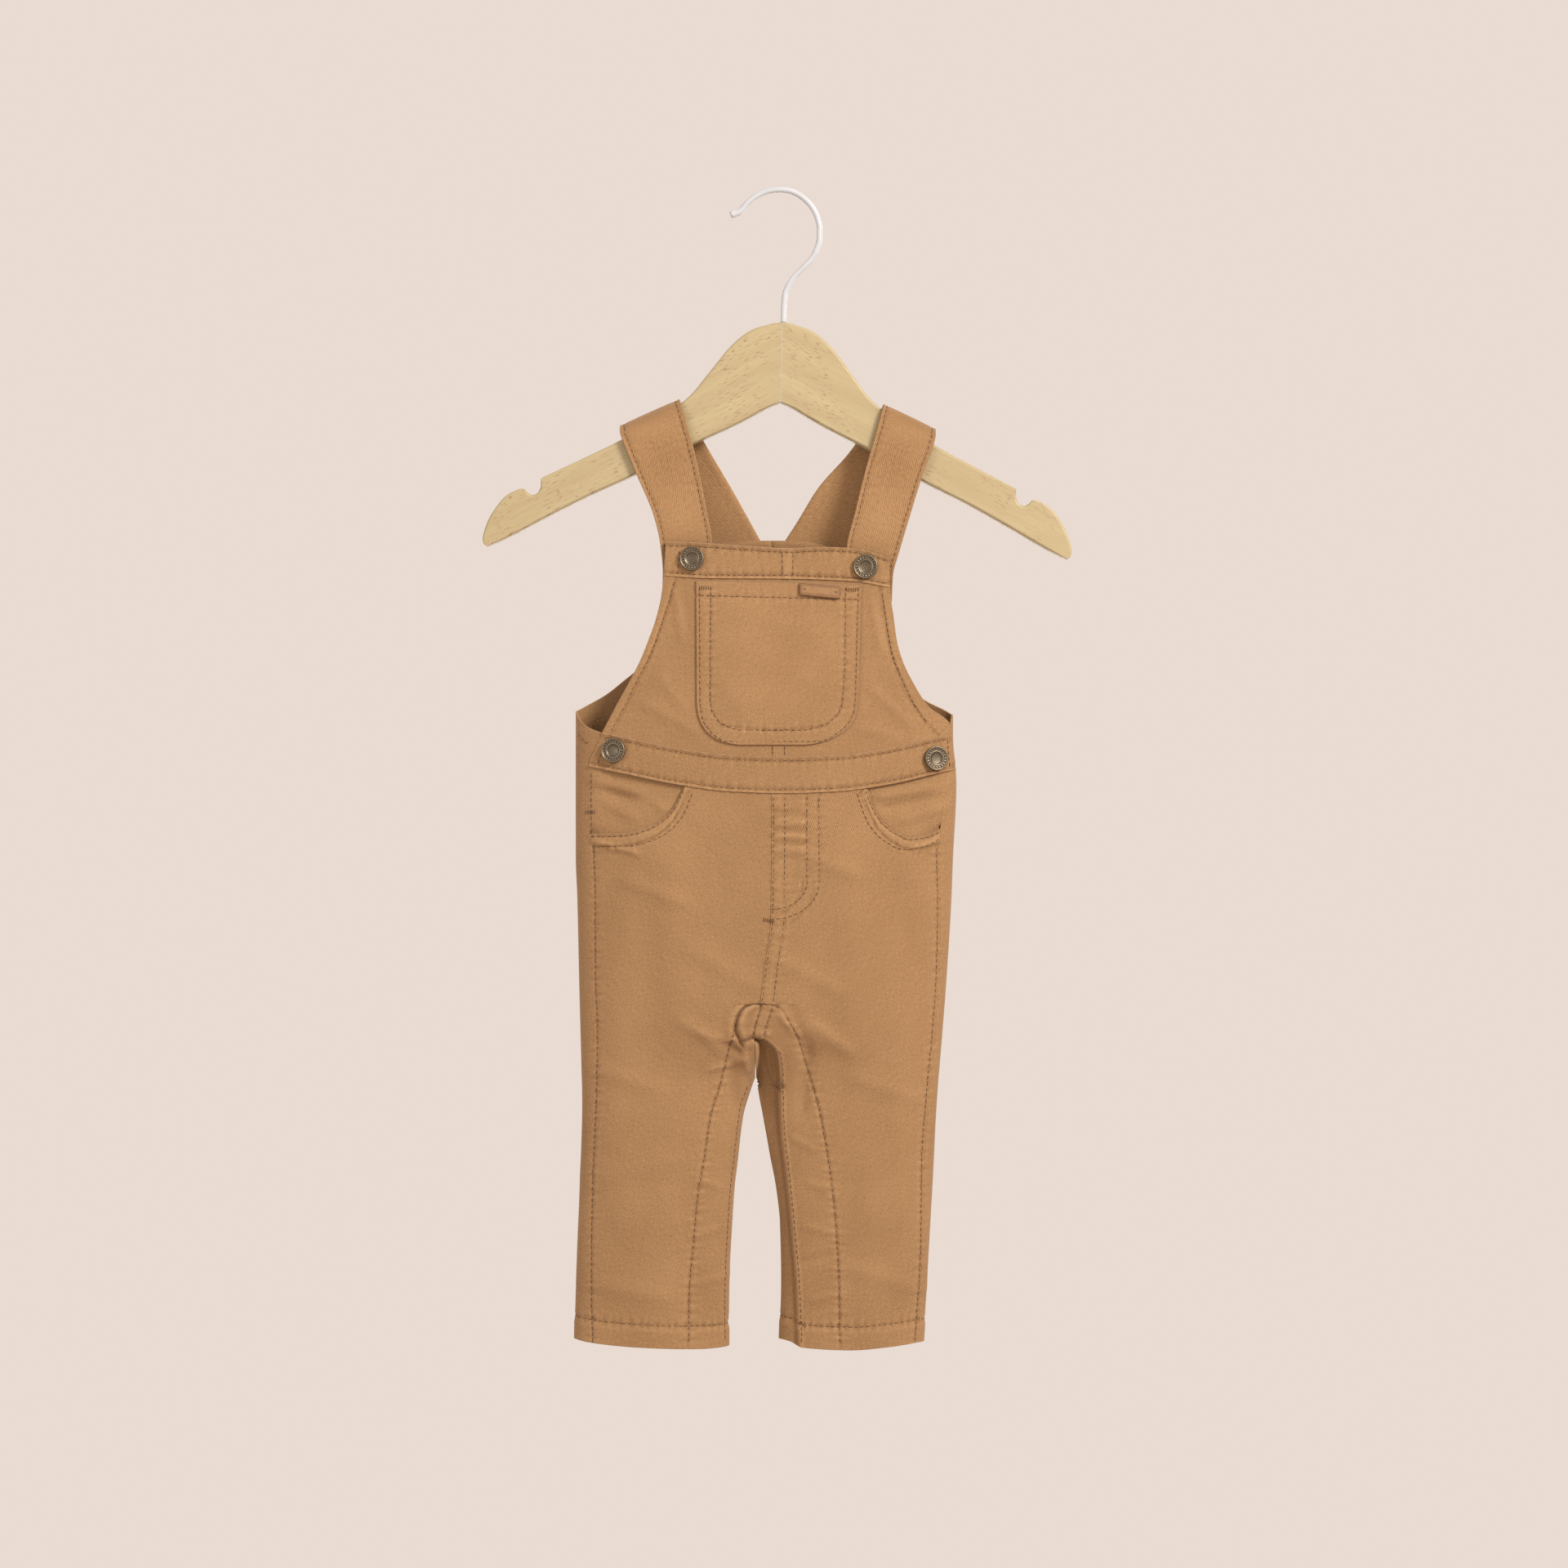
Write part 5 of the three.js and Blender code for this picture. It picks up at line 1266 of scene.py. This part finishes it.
def make_hook():
    """The wire: a circle carried along the hook's line, swelling to the rounded free end."""
    i = np.arange(len(HOOK["x"]), dtype=float)
    c = {name: track({"i": i, name: HOOK[name]}, "i", name) for name in HOOK}
    t = np.concatenate([np.linspace(0, len(i) - 4, 150), np.linspace(len(i) - 4, len(i) - 1, 26)[1:]])
    centre = np.stack([c["x"](t), 0 * t, c["z"](t)], -1)
    tangent = unit(np.gradient(centre, axis=0))
    side = np.stack([tangent[:, 2], 0 * t, -tangent[:, 0]], -1)
    angle = np.arange(20) * 2 * np.pi / 20
    r = (1.55 * c["radius"](t))[:, None, None]
    points = centre[:, None] + r * (side[:, None] * np.cos(angle)[None, :, None]
                                    + np.array([0, 1.0, 0]) * np.sin(angle)[None, :, None])
    count = len(angle)
    at = np.arange(points.shape[0] * count).reshape(-1, count)
    a, b, cc, d = at[:-1], np.roll(at[:-1], -1, 1), np.roll(at[1:], -1, 1), at[1:]
    faces = np.stack([a, b, cc, d], -1).reshape(-1, 4).tolist() + [at[0, ::-1].tolist(), at[-1].tolist()]
    obj = new_object("hook_wire", points.reshape(-1, 3), faces, materials()["enamel"])
    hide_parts("hook")
    return obj


# Stitch lines, each by its own rule

def sew_body():
    z = np.linspace(-371, -429.5, 84)
    for off in (0.9, 6.6):
        front_stitch(middle(z) + off - 1.8 * ease((ARCH_Z - z) / 17), z)
    z = np.linspace(-437, HEM_Z + 1, 150)
    front_stitch(fold_right(z) + 1.3, z)
    z = np.linspace(-437, -461, 20)
    front_stitch(crotch_seam(z) + 0.8, z)
    z = np.linspace(-456, HEM_Z + 2, 150)
    front_stitch(leg_inner["left"](z) - 2.2, z)
    z = np.linspace(-308, -368, 80)
    front_stitch(middle(z) + 1.0, z)
    front_stitch(middle(z[:74]) + 6.6, z[:74])
    angle = np.linspace(0, np.pi / 2 + 0.05, 30)
    for straight, radius in ((13.7, 15.6), (19.8, 21.6)):
        zs = np.linspace(-308, -352, 30)
        x = np.concatenate([np.full(30, straight), -4.0 + (straight + 4.0) * np.cos(angle[1:])])
        zz = np.concatenate([zs, -352 - radius * 0.85 * np.sin(angle[1:])])
        front_stitch(x, zz)
    for half in SIDES:
        sign = OUTWARD[half]
        z = np.linspace(HEM_Z + 1, -420, 150)
        front_stitch(gusset_seam[half](z) - sign * 0.9, z)
        z = np.linspace(HEM_Z + 1, -334, 200)
        front_stitch(side_seam[half](z) - sign * 1.6, z)
        if half == "left":
            z = np.linspace(-330, -296, 24)
            front_stitch(side_seam[half](z) - sign * 1.4, z)
        start = MOUTH[half]["x"][0] + sign * 1.2
        x = np.linspace(start, side_seam[half](-327.0) - sign * 0.5, 120)
        keep = mouth[half](x) - 1.3 < waist_edge(x) - 0.6
        front_stitch(x[keep], (mouth[half](x) - 1.3)[keep])
        inner = np.linspace(start - sign * 4.6, side_seam[half](-333.0) - sign * 0.5, 140)
        low = mouth[half](inner + sign * 3.2) - 6.3
        low = np.minimum(low, waist_edge(inner) - 1.2)
        keep = low < waist_edge(inner) - 1.4
        front_stitch(inner[keep], low[keep])
    for start, end in (((-8.2, -370.6), (-3.4, -371.4)), ((-98.6, -316.2), (-94.2, -316.2)),
                       ((10.2, -575.6), (12.6, -578.0)), ((-19.0, -431.4), (-14.0, -430.6))):
        tack(start, end, front_relief)
    x = np.linspace(-17, 0, 20)
    front_stitch(x, np.interp(x, *ARCH_STITCH))
    for half in SIDES:
        # hems run right round the leg, 11.6 mm up
        level = np.full(len(LEVELS), 0.0)
        turn, z = cut(half, [HEM_Z + 11.4], np.linspace(0.002, 0.998, 240), level, total_length[half],
                      lambda x, level: hem_edge(x) + HEM_STITCH)
        p, n = surface(half, turn[0], z[0])
        stitch(p, n)
        z = np.linspace(ARCH_Z - 20, -183, 220)
        p, n = on_back(middle(z) + OUTWARD[half] * 3.0, z)
        stitch(p, n)
        # the back's upper edge is faced and stitched 8 mm down
        share = np.linspace(0.42, 0.985, 160)
        x = lerp(middle(-282.0), outline[half](-282.0), share)
        p, n = on_back(x, back_edge[half](share) - 8.0)
        stitch(p, n)
        share = np.linspace(0.93, 0.985, 12)
        front_stitch(lerp(middle(-280.0), outline[half](-280.0), share), front_lip[half](share) - 8.0)
    return sew("stitches_body", materials()["thread"])


def sew_top():
    def line(x, z, shape, base):
        p, n = on_front(x, z, shape)
        stitch(p + n * base, n)

    for half in SIDES:
        z = np.linspace(-199, -279 if half == "right" else -276, 90)
        line(bib_stitch[half](z), z, bib_relief, 0)
    for x in (-4.1 + 0.4, 2.4):
        z = np.linspace(-282.6, -287.4, 6)
        line(np.full(6, x), z, bib_relief, 0)
    x = np.linspace(-88.5, 84.5, 260)
    low, high = waist_edge(x), waist_high(x)
    shape = band_relief(waist_edge, waist_high, 31.0)
    line(x, low + BAND_STITCH, shape, BAND_PROUD)
    line(x, high - BAND_STITCH, shape, BAND_PROUD)
    for end in (-92.4, 86.0):
        z = np.linspace(0, 1, 12)
        lean = z * 4.6 if end < 0 else -z * 1.2
        line(end + lean, lerp(waist_edge(end), waist_high(end), z * 0.8 + 0.1), shape, BAND_PROUD)
    x = np.linspace(-56.6, 54, 160)
    line(x, band_seam(x) + BAND_STITCH, band_shape, BAND_PROUD)
    line(x, bib_top(x) - BAND_STITCH, band_shape, BAND_PROUD)
    for off in (1.2, 6.6):
        z = np.linspace(-184.5, -196.5, 12)
        line(np.full(12, off), z, band_shape, BAND_PROUD)
    for half in SIDES:
        sign = OUTWARD[half]
        z = np.linspace(-183 if half == "left" else -189, -196, 12)
        line(bib_side[half](z) - sign * 7.0, z, band_shape, BAND_PROUD)
    # pocket: outer edge, inner line and the hem
    for rows, inset, low in ((POCKET_SIDE, 1.5, -280.4), (POCKET_STITCH, 0.0, -274.6)):
        curve = {s: track(rows, "z", s) for s in SIDES}
        corner = np.sin(np.linspace(0, np.pi / 2, 40)[1:])
        z = np.concatenate([np.linspace(-201.5, -260, 60), -260 + (low + 260) * corner])
        left = np.stack([curve["left"](z) + inset, z], -1)
        right = np.stack([curve["right"](z) - inset, z], -1)[::-1]
        both = np.concatenate([left, right])
        line(both[:, 0], both[:, 1], pocket_relief, POCKET_PROUD)
    x = np.linspace(-41, 40, 100)
    line(x, pocket_top(x) - POCKET_HEM, pocket_relief, POCKET_PROUD)
    for start, end in (((-40.6, -202.6), (-35.2, -202.6)), ((34.0, -203.6), (39.4, -203.6))):
        tack(start, end, pocket_relief, POCKET_PROUD)
    for half in SIDES:
        count = len(STRAPS[half]["y"]) - 1
        at = np.linspace(0.6, count - 0.15, 260)
        for share in (STRAP_STITCH / STRAP_WIDTH, 1 - STRAP_STITCH / STRAP_WIDTH):
            p, n, _ = strap_surface(half, at, np.full_like(at, share))
            stitch(p, n)
        share = np.linspace(0.08, 0.92, 20)
        for end in (count - 0.25, count - 0.8):
            p, n, _ = strap_surface(half, np.full_like(share, end), share)
            stitch(p, n)
    return sew("stitches_top", materials()["thread"])


# Studio

def area_light(name, location, target, size, power, colour):
    light = bpy.data.lights.new(name, "AREA")
    light.shape, light.size, light.energy, light.color = "DISK", size, power, colour
    obj = bpy.data.objects.new(name, light)
    bpy.context.scene.collection.objects.link(obj)
    away = np.array(location) - np.array(target)
    obj.location = location
    obj.rotation_mode = "QUATERNION"
    obj.rotation_quaternion = Vector(away).to_track_quat("Z", "Y")


def make_stage(props):
    scene = bpy.context.scene
    scene.view_settings.view_transform = "Standard"
    world = bpy.data.worlds.new("pale_room")
    scene.world = world
    world.use_nodes = True
    back = world.node_tree.nodes["Background"]
    back.inputs[0].default_value = (*props.wall, 1.0)
    back.inputs[1].default_value = props.room_light
    camera = bpy.data.cameras.new("camera")
    camera.lens, camera.sensor_width = 100.0, 36.0
    obj = bpy.data.objects.new("camera", camera)
    scene.collection.objects.link(obj)
    scene.camera = obj
    distance = 0.7968 / 2 / math.tan(math.atan(18.0 / 100.0))
    obj.location = (0.0021, -distance - 0.010, -0.3019)
    obj.rotation_euler = (math.pi / 2, 0, 0)
    camera.clip_end = 50.0
    floor = Finish("pale_floor", Roughness=0.9)
    where = floor.node("TexCoord", output=3)
    tone = floor.node("TexNoise", Vector=where, Scale=3.0)
    x, y, _ = floor.parts(where)
    apart = floor.node("VectorMath", {"operation": "LENGTH"}, output=1,
                       i0=floor.node("CombineXYZ", X=x, Y=y, Z=0.0))
    floor.feed(floor.shader.inputs["Alpha"], ((2.85 - apart) * 0.6).clamp())
    floor.finish(floor.mix(tone, tuple(c * 0.60 for c in props.wall), tuple(c * 0.62 for c in props.wall)))
    mesh = bpy.data.meshes.new("floor")
    angle = np.arange(64) * 2 * np.pi / 64
    disc = np.stack([2.9 * np.cos(angle), 2.9 * np.sin(angle), np.full(64, -1.35)], -1)
    mesh.from_pydata(disc.tolist(), [], [tuple(range(64))])
    mesh.materials.append(floor.material)
    plane = bpy.data.objects.new("floor", mesh)
    scene.collection.objects.link(plane)
    target = (0.0, 0.0, -0.33)
    area_light("key", (1.45, -1.5, 0.85), target, 0.8, props.key, (1.0, 0.98, 0.95))
    area_light("fill", (-1.7, -1.7, 0.1), target, 1.6, props.key * 0.26, (0.96, 0.98, 1.0))
    area_light("behind", (0.3, 2.1, -0.3), target, 2.0, props.key * 0.4, (1.0, 0.98, 0.95))


# Add-on

class OverallsCloth(bpy.types.PropertyGroup):
    light_yarn: bpy.props.FloatVectorProperty(
        name="Light yarn", description="Colour of the raised yarns", subtype="COLOR", size=3,
        default=linear(168, 130, 90), min=0, max=1)
    dark_yarn: bpy.props.FloatVectorProperty(
        name="Dark yarn", description="Colour between the yarns", subtype="COLOR", size=3,
        default=linear(125, 90, 55), min=0, max=1)
    thread: bpy.props.FloatVectorProperty(
        name="Thread", description="Colour of the sewing thread", subtype="COLOR", size=3,
        default=linear(98, 66, 42), min=0, max=1)
    mesh_step: bpy.props.FloatProperty(
        name="Mesh step", description="Spacing of the cloth's mesh, in millimetres", default=1.5, min=1, max=8)


class OverallsStage(bpy.types.PropertyGroup):
    wall: bpy.props.FloatVectorProperty(
        name="Wall", description="Colour of the room behind", subtype="COLOR", size=3,
        default=linear(233, 219, 209), min=0, max=1)
    room_light: bpy.props.FloatProperty(
        name="Room light", description="Strength of the even light from all round", default=1.0, min=0)
    key: bpy.props.FloatProperty(
        name="Key light", description="Power of the main lamp", subtype="POWER", default=60.0, min=0)


class OVERALLS_OT_body(bpy.types.Operator):
    """Front, back and gusset panels with the hip pockets"""
    bl_idname = "overalls.body"
    bl_label = "Body and legs"

    def execute(self, context):
        step = context.scene.overalls_cloth.mesh_step * 1.0
        for half in SIDES:
            make_front(half, step)
            make_hip_pocket(half, step)
            make_gusset(half, step * 0.6)
            make_back(half, step * 1.15)
        return {"FINISHED"}


class OVERALLS_OT_top(bpy.types.Operator):
    """Bib, its band, pocket and tab, the waistband and the straps"""
    bl_idname = "overalls.top"
    bl_label = "Bib, waistband and straps"

    def execute(self, context):
        step = context.scene.overalls_cloth.mesh_step * 1.0
        for half in SIDES:
            make_bib(half, step)
            make_strap(half, step)
        make_waistband(step)
        make_bib_band(step * 0.75)
        make_bib_pocket(step * 0.8)
        make_label()
        return {"FINISHED"}


class OVERALLS_OT_stitches(bpy.types.Operator):
    """Rows of stitches along every sewn edge"""
    bl_idname = "overalls.stitches"
    bl_label = "Stitches"

    def execute(self, context):
        sew_body()
        sew_top()
        return {"FINISHED"}


class OVERALLS_OT_fittings(bpy.types.Operator):
    """The four snap caps"""
    bl_idname = "overalls.fittings"
    bl_label = "Snap caps"

    def execute(self, context):
        for name, (x, z) in SNAPS.items():
            make_snap(name, x, z)
        return {"FINISHED"}


class OVERALLS_OT_hanger(bpy.types.Operator):
    """The wooden hanger and its hook"""
    bl_idname = "overalls.hanger"
    bl_label = "Hanger and hook"

    def execute(self, context):
        for half in SIDES:
            make_hanger(half)
        make_hook()
        return {"FINISHED"}


class OVERALLS_OT_stage(bpy.types.Operator):
    """Pale room, floor, soft lamps and the camera"""
    bl_idname = "overalls.stage"
    bl_label = "Studio"

    def execute(self, context):
        make_stage(context.scene.overalls_stage)
        return {"FINISHED"}


OPERATORS = (OVERALLS_OT_stage, OVERALLS_OT_body, OVERALLS_OT_top, OVERALLS_OT_stitches,
             OVERALLS_OT_fittings, OVERALLS_OT_hanger)


class OVERALLS_PT_panel(bpy.types.Panel):
    """Shows the settings and a button for each building step"""
    bl_idname = "OVERALLS_PT_panel"
    bl_label = "Bib overalls"
    bl_space_type = "VIEW_3D"
    bl_region_type = "UI"
    bl_category = "Overalls"

    def draw(self, context):
        for group in (context.scene.overalls_cloth, context.scene.overalls_stage):
            for name in group.__annotations__:
                self.layout.prop(group, name)
        for operator in OPERATORS:
            self.layout.operator(operator.bl_idname)


CLASSES = (OverallsCloth, OverallsStage, *OPERATORS, OVERALLS_PT_panel)


def register():
    for cls in CLASSES:
        bpy.utils.register_class(cls)
    bpy.types.Scene.overalls_cloth = bpy.props.PointerProperty(type=OverallsCloth)
    bpy.types.Scene.overalls_stage = bpy.props.PointerProperty(type=OverallsStage)


def unregister():
    del bpy.types.Scene.overalls_stage
    del bpy.types.Scene.overalls_cloth
    for cls in reversed(CLASSES):
        bpy.utils.unregister_class(cls)


def main():
    register()
    for step in (bpy.ops.overalls.stage, bpy.ops.overalls.body, bpy.ops.overalls.top,
                 bpy.ops.overalls.stitches, bpy.ops.overalls.fittings, bpy.ops.overalls.hanger):
        step()


if __name__ == "__main__":
    main()
